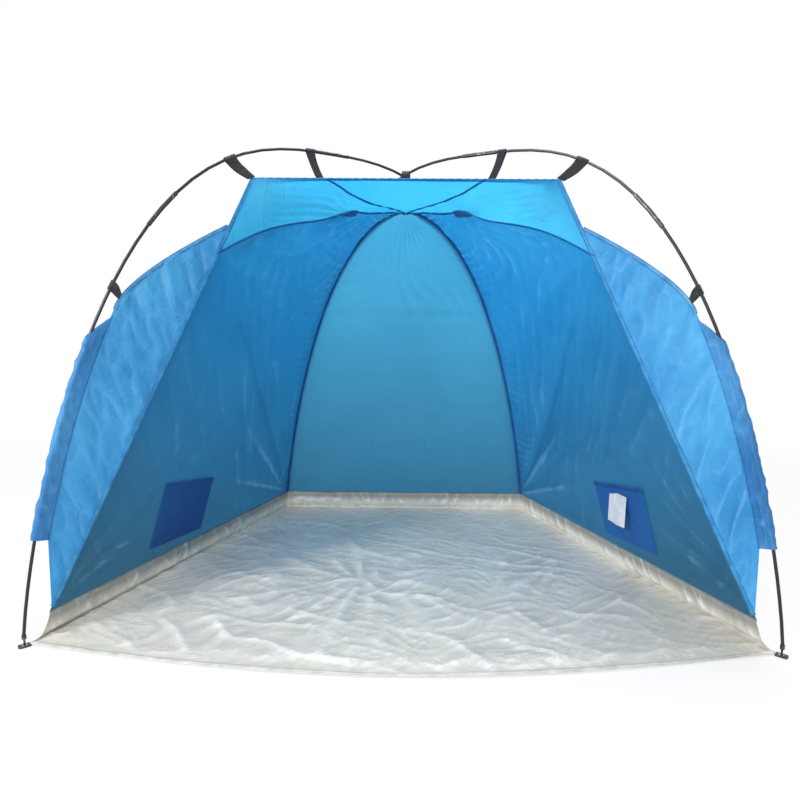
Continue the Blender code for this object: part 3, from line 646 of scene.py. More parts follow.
def patches(places, size, seed, middle=0.5, gain=1.6, low=0.0):
    """A share from low to 1 that says where other folds are strong."""
    return np.clip(middle + gain * soft_noise(places, size, seed), low, 1)


def proudness(height, deep):
    """How proud of its surroundings each place stands, -1 to 1, full at a height in metres."""
    level = height
    for _ in range(EVENING_ROUNDS):
        rim = np.pad(level, 1, mode="edge")
        level = (rim[:-2, 1:-1] + rim[2:, 1:-1] + rim[1:-1, :-2] + rim[1:-1, 2:]) / 4
    return np.clip((height - level) / deep, -1, 1)


def fan(grid, anchor, toward, spread, folds, reach, depth):
    """Pull lines that spread from an anchor toward a place, over an angle in degrees."""
    away = grid - anchor
    distance = np.linalg.norm(away, axis=-1)
    forward = unit(toward - anchor)
    face = unit(surface_normals(grid).mean(axis=(0, 1)))
    sideways = unit(np.cross(face, forward))
    angle = np.arctan2(away @ sideways, away @ forward) / math.radians(spread)
    wander = 0.7 * np.sin(distance * 9 + folds) + 2.0 * soft_noise(grid, 0.30, folds * 0.7)
    turns = math.pi * folds * (angle + wander * 0.2) / 2
    wave = 1 - 2 * np.abs(np.sin(turns)) ** 0.75
    rise = 1 - np.exp(-((distance / 0.06) ** 2))
    fade = np.exp(-((distance / reach) ** 2))
    return depth * wave * patches(grid, 0.15, folds * 1.3) * np.exp(-(angle**4)) * rise * fade


def long_creases(grid, anchor, ends, width, depth):
    """Sharp creases from an anchor to each end, by turns proud and sunk, widening as they go."""
    height = np.zeros(grid.shape[:2])
    away = grid - anchor
    for number, end in enumerate(ends):
        line = end - anchor
        share = away @ line / (line @ line)
        aside = np.linalg.norm(away - share[..., None] * line, axis=-1)
        reach = np.clip(share, 0, 1)
        taper = np.sin(math.pi * reach**0.6) ** 0.8
        sign = 1 if number % 2 == 0 else -0.7
        height += sign * depth * taper * np.exp(-aside / (width * (0.35 + reach)))
    return height


def seam_puckers(grid, depth, reach):
    """Short gathers square to the last column's seam."""
    length = cut_places(grid)[..., 1]
    away = np.linalg.norm(grid - grid[:, -1:], axis=-1)
    shift = 4.0 * soft_noise(grid, 0.20, 7.1) + 26.0 * away
    wave = 1 - 2 * np.abs(np.sin(math.pi * length / PUCKER + shift / 2)) ** 0.8
    return depth * wave * patches(grid, 0.12, 3.9, 0.55, 1.3, 0.1) * np.exp(-away / reach)


print("fold helpers ready")

# %% [markdown]
# ## Side walls
# Each side wall is one large panel between the front edge and the rear ridge. On the real tent it
# is pulled at the apex, at the roof peak and at the foot of the rear pole, and it puckers along the
# rear seam, where a curved edge was sewn to a straighter one. Behind its pocket it lies almost flat.

# %% Side walls
WALL_SAG = 0.014
WALL_ROWS = 161
WALL_COLUMNS = 121
PEAK_FAN_HEIGHT = 1.24
REAR_FOOT_CREASES = (
    (0.18, 0.78), (0.33, 0.96), (0.42, 0.60), (0.50, 0.88), (0.60, 0.52), (0.68, 0.75), (0.80, 0.45),
)
FRONT_FOOT_CREASES = ((0.25, 0.55), (0.43, 0.80), (0.58, 0.40), (0.73, 0.62))
PRESSED_Y = -0.106
PRESSED_Z = 0.225


def crease_ends(start, edge, creases):
    """Ends of creases that aim at shares of an edge and stop at shares of the way."""
    return [start + (edge[int(aim * len(edge))] - start) * reach for aim, reach in creases]


def folded_wall(side):
    """The side wall, apex row first and front column first, and how proud its folds stand."""
    down = np.linspace(0, 1, WALL_ROWS)
    grid = spanned(in_plane(side, *front_edge(down)), in_plane(-side, *rear_ridge(down)), WALL_COLUMNS)
    grid[..., 0] -= side * WALL_SAG * belly(WALL_ROWS, WALL_COLUMNS)
    seed = 3.0 + side
    half = WALL_COLUMNS // 2
    foot, front_foot = grid[-1, -1], grid[-1, 0]
    height = fan(grid, grid[0, half], grid[-1, WALL_COLUMNS // 3], 60, 11, 0.55, 0.0046)
    height += fan(grid, in_plane(side, PEAK_RUN, PEAK_FAN_HEIGHT), grid[-1, half], 55, 9, 0.34, 0.0054)
    height += fan(grid, front_foot, grid[WALL_ROWS // 2, half], 30, 7, 0.50, 0.0040)
    ends = crease_ends(foot, grid[:, 0], REAR_FOOT_CREASES)
    height += long_creases(grid, foot, ends, 0.020, 0.0160)
    height += long_creases(grid, foot, ends[1::2], 0.060, 0.0150)
    ends = crease_ends(front_foot, grid[:, -1], FRONT_FOOT_CREASES)
    height += long_creases(grid, front_foot, ends, 0.016, 0.0070)
    height += seam_puckers(grid, 0.0072, 0.095)
    tilted = grid + np.array([0, 0.45, 0]) * grid[..., 2:]
    patchy = patches(grid, (0.18, 0.18, 0.22), seed + 7, 0.4)
    height += 0.0100 * soft_noise(grid, (0.34, 0.30, 0.22), seed)
    height += 0.0034 * patchy * ridged(tilted, (0.09, 0.08, 0.50), seed + 2)
    height += 0.0018 * (1 - patchy) * ridged(tilted, (0.05, 0.04, 0.20), seed + 5)
    height += 0.0012 * soft_noise(grid, (0.045, 0.05, 0.03), seed + 9)
    pressed = ((grid[..., 1] - PRESSED_Y) / 0.17) ** 4 + ((grid[..., 2] - PRESSED_Z) / 0.16) ** 4
    height *= (1 - 0.80 * np.exp(-pressed)) * hem_mask(WALL_ROWS, WALL_COLUMNS, 0.05)
    return pushed(grid, height), proudness(height, 0.0042)


for side, label in SIDES:
    grid, proud = folded_wall(side)
    add_cloth(
        f"wall_cloth_{label}", grid, wall_finish, "wall_cloth", proud=proud, node_name=f"side_wall_{label}",
    )
    print("side wall", label, "area", area_of(grid), "m2")

# %% [markdown]
# ## Back wall
# The back wall is an arched panel between the two rear ridges, almost flat and almost smooth. Its
# few marks are the level creases of how it was packed and small gathers along both seams.

# %% Back wall
BACK_SAG = 0.010
BACK_ROWS = 111
BACK_COLUMNS = 81
PACKED_CREASES = ((0.86, 0.0036), (0.47, 0.0030))


def folded_back():
    """The back wall, apex row first and left column first, with its gathers and level creases."""
    left, right = [in_plane(side, *rear_ridge(np.linspace(0, 1, BACK_ROWS))) for side in (1, -1)]
    grid = spanned(left, right, BACK_COLUMNS)
    grid[..., 1] -= BACK_SAG * belly(BACK_ROWS, BACK_COLUMNS)
    half = BACK_COLUMNS // 2
    height = seam_puckers(grid, 0.0026, 0.05) + seam_puckers(grid[:, ::-1], 0.0026, 0.05)[:, ::-1]
    height += fan(grid, grid[0, half], grid[-1, half], 50, 11, 0.5, 0.0036)
    for corner in (grid[-1, 0], grid[-1, -1]):
        height += fan(grid, corner, grid[BACK_ROWS // 3, half], 60, 9, 0.35, 0.0046)
    height += 0.0060 * soft_noise(grid, (0.30, 0.30, 0.26), 2.3)
    height += 0.0024 * soft_noise(grid, (0.16, 0.10, 0.05), 4.9)
    for level, deep in PACKED_CREASES:
        height -= deep * np.exp(-(((grid[..., 2] - level) / 0.010) ** 2))
    return pushed(grid, height * hem_mask(BACK_ROWS, BACK_COLUMNS, 0.05))


grid = folded_back()
back = add_cloth("back_cloth", grid, back_finish, "wall_cloth", node_name="back_wall")
print("back wall area", area_of(grid), "m2")

# %% [markdown]
# ## Roof
# The roof is three gores sewn side by side, stretched from the apex out to a straight hem. Only its
# four edges are known, so the inside is found as a soap film would find it: each place moves to the
# average of its neighbours until the surface is taut.

# %% Roof
ROOF_ROWS = 65
ROOF_COLUMNS = 97
TAUT_ROUNDS = 1500
GORE_SHARE = 0.235
roof_corners = {side: in_plane(side, ROOF_CORNER_RUN, ROOF_CORNER_HEIGHT) for side, _ in SIDES}


def even_line(places, count):
    """Places at equal steps along a line of straight runs."""
    far = walked(places)
    wanted = np.linspace(0, far[-1], count)
    return np.stack([np.interp(wanted, far, axis) for axis in np.transpose(places)], axis=-1)


def roof_surface():
    """Taut roof, apex row first and left column first."""
    left, right = [in_plane(side, *roof_seam(np.linspace(0, 1, ROOF_ROWS))) for side in (-1, 1)]
    near = np.linspace(left[0], right[0], ROOF_COLUMNS)
    far = even_line([left[-1], roof_corners[-1], roof_corners[1], right[-1]], ROOF_COLUMNS)
    grid = spanned(near, far, ROOF_ROWS).swapaxes(0, 1)
    grid[:, 0], grid[:, -1] = left, right
    for _ in range(TAUT_ROUNDS):
        beside = grid[1:-1, :-2] + grid[1:-1, 2:]
        grid[1:-1, 1:-1] = (beside + grid[:-2, 1:-1] + grid[2:, 1:-1]) / 4
    return grid


grid = roof_surface()
top_middle = grid[0, ROOF_COLUMNS // 2]
height = fan(grid, top_middle, grid[-1, ROOF_COLUMNS // 2], 80, 15, 0.30, 0.0036)
for side, corner in roof_corners.items():
    height += fan(grid, corner, top_middle, 45, 11, 0.34, 0.0050)
    height += fan(grid, in_plane(side, PEAK_RUN, PEAK_FAN_HEIGHT), corner, 70, 9, 0.22, 0.0040)
height += 0.0060 * soft_noise(grid, (0.22, 0.18, 0.2), 8.8)
height += 0.0018 * soft_noise(grid, (0.07, 0.06, 0.05), 1.7)
roof_grid = pushed(grid, height * hem_mask(ROOF_ROWS, ROOF_COLUMNS, 0.07))
roof = add_cloth("roof_cloth", roof_grid, roof_finish, "roof_cloth", node_name="roof_panel")
print("roof area", area_of(roof_grid), "m2")

# %% [markdown]
# ## Wings
# A flat wing fills the gap between the taut front edge and the pole's sleeve. Its coated cloth is
# creased all over and catches the light, so it gets more and sharper crinkles than the walls, all
# running roughly along the sleeve that gathers it.

# %% Wings
SEAM_LAP = 0.005
FRONT_SLEEVE_DEPTH = 0.036
FRONT_SLEEVE_TOP = 0.840
FRONT_SLEEVE_END = 0.290
WING_TOP_HEIGHT = 1.150
WING_FOOT_HEIGHT = 0.100
WING_FOOT_WIDTH = 0.004
WING_HEM_SHARE = 1.45
HEM_START = 0.900
WING_ROWS = 161
WING_COLUMNS = 41


def seam_run(height):
    """Run of the sleeve's sewn edge on the front half of the bow, at a height."""
    seat = FRONT_SLEEVE_DEPTH - SEAM_LAP
    low, high = bow_run(height), PLANE_LENGTH / 2
    for _ in range(40):
        middle = (low + high) / 2
        reached = bow_height(middle) + inward(middle)[1] * seat
        low, high = (middle, high) if reached < height else (low, middle)
    return float(low + inward(low)[0] * seat)


def wing_edge_run(height):
    """Run of the wing's outer edge: along the sleeve low down, then a free hem up to the chord."""
    if height < FRONT_SLEEVE_END:
        share = (height - WING_FOOT_HEIGHT) / (FRONT_SLEEVE_END - WING_FOOT_HEIGHT)
        foot = chord_run(WING_FOOT_HEIGHT) - WING_FOOT_WIDTH
        return foot + (seam_run(FRONT_SLEEVE_END) - foot) * share
    if height < HEM_START:
        return seam_run(height)
    share = (height - HEM_START) / (WING_TOP_HEIGHT - HEM_START)
    start = seam_run(HEM_START)
    return start + (chord_run(WING_TOP_HEIGHT) - start) * share**WING_HEM_SHARE


def wing_surface(side):
    """Smooth wing, top row first and outer column first."""
    heights = np.linspace(WING_TOP_HEIGHT - 0.001, WING_FOOT_HEIGHT, WING_ROWS)
    outer = in_plane(side, [wing_edge_run(height) for height in heights], heights)
    return spanned(outer, in_plane(side, chord_run(heights), heights), WING_COLUMNS)


for side, label in SIDES:
    grid = wing_surface(side)
    slanted = grid + np.array([0, 0.35, 0]) * grid[..., 2:]
    patchy = patches(grid, (0.10, 0.10, 0.14), 7.7 + side, 0.4, 1.8)
    height = 0.0060 * soft_noise(grid, (0.10, 0.10, 0.30), 5.5 + side)
    height += 0.0058 * patchy * ridged(slanted, (0.048, 0.048, 0.36), 2.0 + side)
    height += 0.0034 * (1 - patchy) * ridged(slanted, (0.034, 0.034, 0.16), 6.0 + side)
    height += 0.0010 * soft_noise(grid, (0.03, 0.03, 0.05), 9.5 + side)
    height *= hem_mask(WING_ROWS, WING_COLUMNS, 0.08)
    add_cloth(
        f"wing_cloth_{label}", pushed(grid, height), wing_finish, "sleeve_cloth",
        proud=proudness(height, 0.0036), node_name=f"front_wing_{label}",
    )
    print("wing", label, "area", area_of(grid), "m2")

# %% [markdown]
# ## Pole sleeves
# A sleeve is a strip of cloth folded round the pole and sewn along its inner edge. It is loose, so
# in section it is a drop: round over the pole and pinched to the seam. Gathers and small sags along
# its length tell the eye that it is cloth on a rod and not a second rod.

# %% Sleeves
SLEEVE_ROUND = 0.0100
SLEEVE_PINCH = 0.0011
SLEEVE_CLOTH = 0.0008
SLEEVE_SWELL = 0.0030
BOW_STEPS = 2000
SLEEVE_SLANT = 0.070
REAR_SLEEVE_TOP = 1.020
REAR_SLEEVE_END = 0.110
CROSSING_SPREAD = 0.25
CROSSING_GAP = 0.0020


def crossing_lift(side, run):
    """The right pole passes over the left one, and both ease apart round the crossing."""
    apart = (POLE_DIAMETER + CROSSING_GAP) / 2
    return side * apart * np.exp(-(((np.asarray(run, float) - CROSS_RUN) / CROSSING_SPREAD) ** 2))


def bow_line(low, high, count):
    """Runs of the bow and the distance walked along it to each."""
    runs = np.linspace(low, high, count)
    return runs, walked(np.stack([runs, bow_height(runs)], axis=-1))


def drop_section(depth):
    """Half widths and depths round a loose sleeve: round over the pole, pinched at its seam."""
    turns = np.linspace(-math.pi / 2, math.pi / 2, 13)
    cap = np.stack([np.sin(turns) * SLEEVE_ROUND, -np.cos(turns) * SLEEVE_ROUND], axis=-1)
    share = np.linspace(0, 1, 8)[1:]
    tail_width = SLEEVE_PINCH + (SLEEVE_ROUND - SLEEVE_PINCH) * (1 - share) ** 1.3
    tail = np.stack([tail_width, share * (depth - SLEEVE_CLOTH)], axis=-1)
    return np.concatenate([cap, tail, tail[::-1] * [-1, 1]])


def add_sleeve(node_name, side, low, high, rear, depth, finish, rings, slant):
    """A gathered sleeve round a pole between two heights, and its flat size.

    slant is how much further the seam side reaches up the pole than the outside, at the top end.
    """
    runs, far = bow_line(*sorted((bow_run(low, rear), bow_run(high, rear))), BOW_STEPS)
    length = float(far[-1])
    runs = np.interp(np.linspace(0, length, rings), far, runs)
    section = drop_section(depth)
    half, deep = section[None, :, :1], section[None, :, 1:]
    lean = slant * np.clip((np.linspace(0, 1, rings) - 0.7) / 0.3, 0, 1)[:, None] ** 1.5
    rate = 1 / np.hypot(1, np.gradient(bow_height(runs), runs))
    runs = runs[:, None] + lean * np.clip(deep[..., 0] / depth, -0.3, 1) * rate[:, None]
    normal = inward(runs)
    centre = in_plane(side, runs, bow_height(runs) + crossing_lift(side, runs))
    inner = across(side) * normal[0][..., None] + UP * normal[1][..., None]
    wide = unit(np.cross(across(side), UP))
    grid = centre + wide * half + inner * deep
    swell = 0.0024 * soft_noise(grid, (0.016, 0.016, 0.022), 3.3 + side)
    swell += 0.0016 * ridged(grid, (0.030, 0.030, 0.060), 5.3 + side)
    swell += 0.0012 * soft_noise(grid, (0.006, 0.006, 0.030), 8.1 + side)
    held = np.clip(1 - np.abs(deep[..., 0] - depth) / 0.004, 0, 1)
    grid = grid + unit(wide * half + inner * (deep * 0.4)) * (swell * (1 - held))[..., None]
    piece = add_piece(
        f"{node_name}_cloth", grid, grid_faces(rings, len(section), closed=True), finish,
        np.stack(np.meshgrid(walked(section), np.linspace(0, length, rings)), axis=-1), "sleeve_cloth",
        proud=np.clip(swell / SLEEVE_SWELL, -1, 1), node_name=node_name,
    )
    shell = piece.modifiers.new("cloth", "SOLIDIFY")
    shell.thickness = SLEEVE_CLOTH
    shell.offset = 0
    girth = float(walked(np.vstack([section, section[:1]]))[-1])
    print(piece.name, "length", round(length, 3), "girth", round(girth, 3))
    return piece, (girth, length)


front_kind = (FRONT_SLEEVE_END, FRONT_SLEEVE_TOP, False, FRONT_SLEEVE_DEPTH, sleeve_finish, 120, SLEEVE_SLANT)
rear_kind = (REAR_SLEEVE_END, REAR_SLEEVE_TOP, True, REAR_SLEEVE_DEPTH, rear_sleeve_finish, 170, 0.0)
for side, label in SIDES:
    for owner, name, kind in ((side, "front", front_kind), (-side, "rear", rear_kind)):
        piece, flat = add_sleeve(f"{name}_sleeve_{label}", owner, *kind)

# %% [markdown]
# ## Groundsheet
# The floor is a silver polyethylene sheet that has been folded small many times. It never lies
# flat: hard little ridges run over it, with longer creases that meet at a star left of its middle,
# and all of them stay above the ground. Its rim stands up at the sides and the back, and its apron
# bows out at the front.

# %% Groundsheet
APRON = 0.130
APRON_FALL_SHARE = 4
FLOOR_ROWS = 181
FLOOR_COLUMNS = 261
RIM_STEPS = 11
FLOOR_SPAN = slice(RIM_STEPS, RIM_STEPS + FLOOR_COLUMNS)
TIP_LIFT = 0.0323
TAB_REACH = 0.016
TAB_GAP = 0.001
FLOOR_LIFT = 0.0006
SHEET_THREAD = 0.0022
STAR = np.array([-0.14, -0.18, 0.0])
STAR_ENDS = np.array([
    (-0.72, -0.40, 0), (-0.84, -0.62, 0), (-0.50, -0.70, 0), (-0.24, -0.74, 0), (0.30, -0.48, 0),
    (-0.20, 0.24, 0),
])


def foot_run(rear):
    """Run of a pole's tip, which stands upright under the end of the lowest tube."""
    runs, far = bow_line(0, 0.02, 2 * BOW_STEPS)
    run = float(np.interp(TIP_LIFT, far, runs))
    return PLANE_LENGTH - run if rear else run


def floor_corner(side, rear):
    """Corner of the floor, just short of the webbing tab."""
    owner, way = (-side, -1) if rear else (side, 1)
    return in_plane(owner, foot_run(rear), 0) + across(owner) * way * (TAB_REACH + TAB_GAP)


def rim_corner(side, rear):
    """Top of the rim at a corner, at the wall's lower edge."""
    return in_plane(-side, *rear_ridge(1.0)) if rear else in_plane(side, *front_edge(1.0))


def mixed_corners(corner):
    """Places between four corners, front row first and left column first."""
    front, rear = [np.linspace(corner(-1, far), corner(1, far), FLOOR_COLUMNS) for far in (False, True)]
    return spanned(front, rear, FLOOR_ROWS).swapaxes(0, 1)


def rounded_rise(low, high):
    """Rows from a floor edge up to a rim's top, with a soft fold at the floor."""
    share = np.linspace(0, 1, RIM_STEPS + 1)[1:, None, None]
    rows = low + (high - low) * share**0.6
    rows[..., 2:] = low[..., 2:] + (high - low)[..., 2:] * share**1.25
    return rows


def sheet_grid():
    """Groundsheet as one grid: side rims, floor with its apron, and the back rim."""
    down, along = np.linspace(0, 1, FLOOR_ROWS), np.linspace(0, 1, FLOOR_COLUMNS)
    floor, rim = mixed_corners(floor_corner), mixed_corners(rim_corner)
    floor[..., 1] -= APRON * np.sin(math.pi * along)[None, :] * ((1 - down) ** APRON_FALL_SHARE)[:, None]
    left, right = [rounded_rise(floor[:, edge], rim[:, edge]).swapaxes(0, 1) for edge in (0, -1)]
    grid = np.concatenate([left[:, ::-1], floor, right], axis=1)
    rear = grid[-1]
    back_rim = []
    for step, row in enumerate(rounded_rise(rear[FLOOR_SPAN], rim[-1]), 1):
        line = rear.copy()
        line[FLOOR_SPAN] = row
        for edge, end in ((slice(0, RIM_STEPS), 0), (slice(-RIM_STEPS, None), -1)):
            line[edge] += (rim[-1, end] - rear[edge]) * step / RIM_STEPS
            line[edge, 2] = np.maximum(line[edge, 2], row[end, 2])
        back_rim.append(line)
    return np.concatenate([grid, np.stack(back_rim)])


def creased_sheet():
    """The groundsheet with hard ridges, longer folds and slack, and how proud they stand."""
    grid = sheet_grid()
    flat = grid * [1, 1, 0.6]
    bent = flat + 0.045 * np.stack([soft_noise(flat, 0.16, seed) for seed in (1.1, 2.2, 3.3)], axis=-1)
    streaked = bent + np.array([0, 0.35, 0]) * bent[..., :1]
    crossed = bent - np.array([0, 0.7, 0]) * bent[..., :1]
    slanted = flat + np.array([0.5, -0.5, 0]) * grid[..., 2:]
    patchy = patches(flat, 0.20, 3.6, low=0.1)
    height = 0.005 * crumple(bent, (0.34, 0.24, 0.20), 4.0)
    height += 0.0060 * (0.3 + 0.7 * patchy) * crisp(streaked, (0.34, 0.12, 0.2), 1.0)
    height += 0.0052 * patchy**2 * crisp(crossed, (0.26, 0.06, 0.1), 7.0)
    height += 0.0030 * (1.1 - patchy) ** 2 * crisp(streaked, (0.12, 0.034, 0.05), 2.5)
    height += 0.0014 * crisp(crossed, (0.07, 0.026, 0.05), 8.5)
    height += 0.0040 * (soft_noise(flat, (0.5, 0.20, 0.3), 5.0) + 0.5)
    uprights = 0.0110 * (0.35 + 0.65 * patchy) * crisp(slanted, (0.060, 0.046, 0.40), 4.5)
    height += uprights * np.clip((grid[..., 2] - 0.012) / 0.02, 0, 1)
    away = flat - STAR
    distance = np.linalg.norm(away, axis=-1)
    spokes = 1 - np.abs(np.sin(5.5 * np.arctan2(away[..., 1], away[..., 0]) + 5 * distance))
    spokes *= np.exp(-((distance / 0.40) ** 2)) * (1 - np.exp(-((distance / 0.06) ** 2)))
    height += 0.007 * spokes * patches(flat, (0.16, 0.16, 0.2), 6.0)
    height += np.abs(long_creases(bent, STAR, STAR_ENDS, 0.020, 0.0080))
    height *= 0.40 + 0.60 * hem_mask(*height.shape, 0.035)
    height *= np.clip(1.15 - grid[..., 1] * 0.35, 0.7, 1.4)
    proud = proudness(height, 0.0022)
    normal = surface_normals(grid)
    normal *= np.sign(normal[len(grid) // 2, grid.shape[1] // 2, 2])
    upright = np.clip((grid[..., 2:] - 0.004) / 0.02, 0, 1)
    height[-1], height[:, 0], height[:, -1] = 0, 0, 0
    grid = grid + (UP * (1 - upright) + normal * upright * 0.7) * height[..., None]
    grid[..., 2] = np.maximum(grid[..., 2], 0) + FLOOR_LIFT
    return grid, proud


def sheet_finish():
    """Shiny, crackled, woven silver polyethylene: ridges painted pale as highlight, hollows dark as shade."""
    mat = Finish("silver_sheet")
    cloud = mat.ramp(mat.mottle(5.0, 5.0, 0.6), 0.35, 0.68)
    colour = mat.mix(cloud, (236, 230, 216), (251, 246, 234))
    parts = mat.split(mat.place)
    # The floor is tinted darker and warmer toward the front.
    # The upright rim, from 3 cm up, is painted darker grey-beige as shade.
    toward_front, upright_rim_shade = mat.ramp(parts[1], -0.05, -0.70), mat.ramp(parts[2], 0.030, 0.060)
    # Ridges are painted paler as highlight and hollows darker as shade, by how proud the folds stand.
    crest, trough = mat.folds()
    for share, strength, tint in (
        (toward_front, 0.85, (217, 213, 201)), (upright_rim_shade, 0.85, (150, 148, 140)),
        (crest, 0.70, (252, 252, 249)), (trough, 0.28, (130, 134, 134)),
    ):
        colour = mat.mix(mat.times(share, strength), colour, tint)
    normal = mat.bump(mat.weave(SHEET_THREAD), 0.00010, mat.bump(mat.mottle(34.0, 4.0, 0.9), 0.0024))
    return mat.coat(colour, mat.plus(mat.times(cloud, 0.12), 0.18), normal, Metallic=0.12)


floor_grid, proud = creased_sheet()
floor_sheet = add_cloth(
    "groundsheet_cloth", floor_grid, sheet_finish(), "sheet_cloth", proud=proud, node_name="groundsheet",
)
print("groundsheet area", area_of(floor_grid), "m2")

# %% [markdown]
# ## Sewn strips
# Hems and seams are what make cloth look made rather than cut out by a computer. Each is a thin
# closed strip that follows a line, lying on the panel, with rounded edges, and is listed with the
# sheet that it is sewn to.

# %% Strips
STRIP_OUTLINE = np.array([
    (-1, -0.4), (-0.9, -1), (0, -1.25), (0.9, -1), (1, -0.4),
    (1, 0.4), (0.9, 1), (0, 1.25), (-0.9, 1), (-1, 0.4),
])
HEM_WIDTH = 0.013
HEM_THICK = 0.0022
SEAM_THICK = 0.0020
RIDGE_THICK = 0.0024
HEM_STEPS = 120
sewn_to = {sheet: [] for sheet in ("roof", "floor", "left", "right", "wing_left", "wing_right")}


def sew(sheet, name, line, face, width, thickness, finish, slot):
    """A closed strip along a line, sewn to a sheet. face is the way that its broad side looks."""
    along = unit(np.gradient(line, axis=0))
    face = unit(face - along * (face * along).sum(axis=1, keepdims=True))
    beside = np.cross(along, face)
    section = STRIP_OUTLINE * [width / 2, thickness / 2]
    places = line[:, None] + beside[:, None] * section[None, :, :1] + face[:, None] * section[None, :, 1:]
    cut = np.stack(np.meshgrid(walked(line), section[:, 0], indexing="ij"), axis=-1)
    sewn_to[sheet].append(add_piece(name, places, tube_faces(*places.shape[:2]), finish, cut, slot))


def smoothed(line, rounds=4):
    """A line with its jitter evened out and its ends kept."""
    line = np.array(line, float)
    for _ in range(rounds):
        line[1:-1] = (line[:-2] + 2 * line[1:-1] + line[2:]) / 4
    return line


line = even_line(list(roof_corners.values()), HEM_STEPS) + [0, 0.005, 0]
line[:, 2] += 0.0006 * np.sin(np.arange(HEM_STEPS) * 1.9)
sew("roof", "roof_hem", line, [0, 0.35, 1.0], HEM_WIDTH, HEM_THICK, hem_finish, "roof_cloth")
for side, label in SIDES:
    plane_face = unit(np.cross(across(side), UP))
    heights = np.linspace(ROOF_CORNER_HEIGHT, RIM_HEIGHT + 0.01, 200)
    line = in_plane(side, chord_run(heights) + 0.003, heights)
    line += plane_face * (0.0009 * soft_noise(line, (0.05, 0.05, 0.03), 2.0 + side))[:, None]
    sew(label, f"front_edge_hem_{label}", line, plane_face, HEM_WIDTH, HEM_THICK, hem_finish, "wall_cloth")
    line = in_plane(side, *roof_seam(np.linspace(0.0, 1.0, 140)))
    face = unit([side * 0.8, -0.2, 0.6])
    sew("roof", f"roof_seam_{label}", line, face, 0.009, HEM_THICK, seam_finish, "roof_cloth")
    heights = np.linspace(WING_TOP_HEIGHT - 0.006, HEM_START, 70)
    line = smoothed(in_plane(side, np.array([wing_edge_run(height) for height in heights]) + 0.004, heights))
    name = f"wing_hem_{label}"
    sew(f"wing_{label}", name, line, plane_face, 0.012, HEM_THICK, wing_hem_finish, "sleeve_cloth")
    face = unit([-side * 0.75, -0.65, -0.1])
    line = in_plane(-side, *rear_ridge(np.linspace(0.0, 0.995, 180))) + face * 0.002
    sew(label, f"ridge_tape_{label}", line, face, 0.021, RIDGE_THICK, ridge_finish, "wall_cloth")
print("hems", sum(len(found) for found in sewn_to.values()))

# %% [markdown]
# ## Gore seams
# The roof's two inner seams run from the apex to the hem, where the middle gore meets the others.

# %% Gore seams
hem_span = np.linalg.norm(roof_corners[1] - roof_corners[-1])
side_span = np.linalg.norm(in_plane(-1, *roof_seam(np.array(1.0))) - roof_corners[-1])
gore_share = (side_span + hem_span * GORE_SHARE) / (hem_span + 2 * side_span)
for side, label in SIDES:
    column = round((gore_share if side < 0 else 1 - gore_share) * (ROOF_COLUMNS - 1))
    line, face = smoothed(roof_grid[:, column], 2), surface_normals(roof_grid)[:, column]
    sew("roof", f"gore_seam_{label}", line, face, 0.008, SEAM_THICK, seam_finish, "roof_cloth")
print("strips on the roof", len(sewn_to["roof"]))

# %% [markdown]
# ## Patches under the straps
# A doubled patch of cloth spreads each strap's pull, one below every peak and one at each
# corner of the roof. Its dark colour is painted shade, for the light that the two layers hold back.

# %% Patches
PEAK_PATCH = 0.034
CORNER_PATCH = 0.022
seam_runs, seam_heights = roof_seam(np.linspace(1, 0, 400))
peak_height = float(np.interp(PEAK_RUN, seam_runs, seam_heights))


def add_patch(name, centre, face, lengthwise, size):
    """A doubled cloth patch, painted dark as shade, with its corners cut, domed a little over the seam."""
    face, lengthwise = unit(face), unit(lengthwise)
    beside = unit(np.cross(face, lengthwise))
    x, y = np.meshgrid(*[np.linspace(-1, 1, 15)] * 2)
    squeeze = 1 - 0.30 * np.abs(x) ** 3
    dome = 0.0030 * (1 - (x**2 + y**2) / 2)
    grid = centre + lengthwise * (x * size)[..., None] + beside * (y * squeeze * size * 0.55)[..., None]
    sewn_to["roof"].append(add_cloth(name, grid + face * dome[..., None], patch_finish, "pocket_cloth"))


for side, label in SIDES:
    peak = in_plane(side, PEAK_RUN, peak_height) + [-side * 0.006, -0.012, -0.009]
    add_patch(f"peak_patch_{label}", peak, [side * 0.9, -0.9, -0.35], [side * 0.8, -0.55, 0.0], PEAK_PATCH)
    corner = roof_corners[side] + [-side * 0.014, 0.012, -0.003]
    add_patch(f"corner_patch_{label}", corner, [0, 0.2, 1.0], [1.0, 0.3, 0.0], CORNER_PATCH)
print("strips and patches on the roof", len(sewn_to["roof"]))

# %% [markdown]
# ## Bindings of the groundsheet
# A pale tape binds the apron's front edge, and a seam joins the rim to the foot of every wall.

# %% Bindings
line = smoothed(floor_grid[0, FLOOR_SPAN], 3)
line[:, 2] = np.maximum(line[:, 2], 0.0016)
sew("floor", "apron_binding", line, UP, 0.014, RIDGE_THICK, binding_finish, "sheet_cloth")
for name, line, face in (
    ("left", floor_grid[:FLOOR_ROWS, 0], [-1, 0.3, 0.1]),
    ("right", floor_grid[:FLOOR_ROWS, -1], [1, 0.3, 0.1]),
    ("back", floor_grid[-1, FLOOR_SPAN], [0, 1.0, 0.1]),
):
    line = line + [0, 0, -0.004]
    sew("floor", f"rim_seam_{name}", line, face, 0.008, SEAM_THICK, foot_seam_finish, "wall_cloth")
print("bindings", len(sewn_to["floor"]))

# %% [markdown]
# ## Pockets
# Each side wall has a flat pocket low down inside, in a deeper blue, with a turned hem along its
# open top.

# %% Pockets
POCKET_FRONT = -0.226
POCKET_REAR = 0.014
POCKET_FOOT_SHARE = 0.030
POCKET_TOP_SHARE = 0.160
POCKET_STEPS = 33
POCKET_OFF = 0.0045
POCKET_HEM_SINK = 0.0022


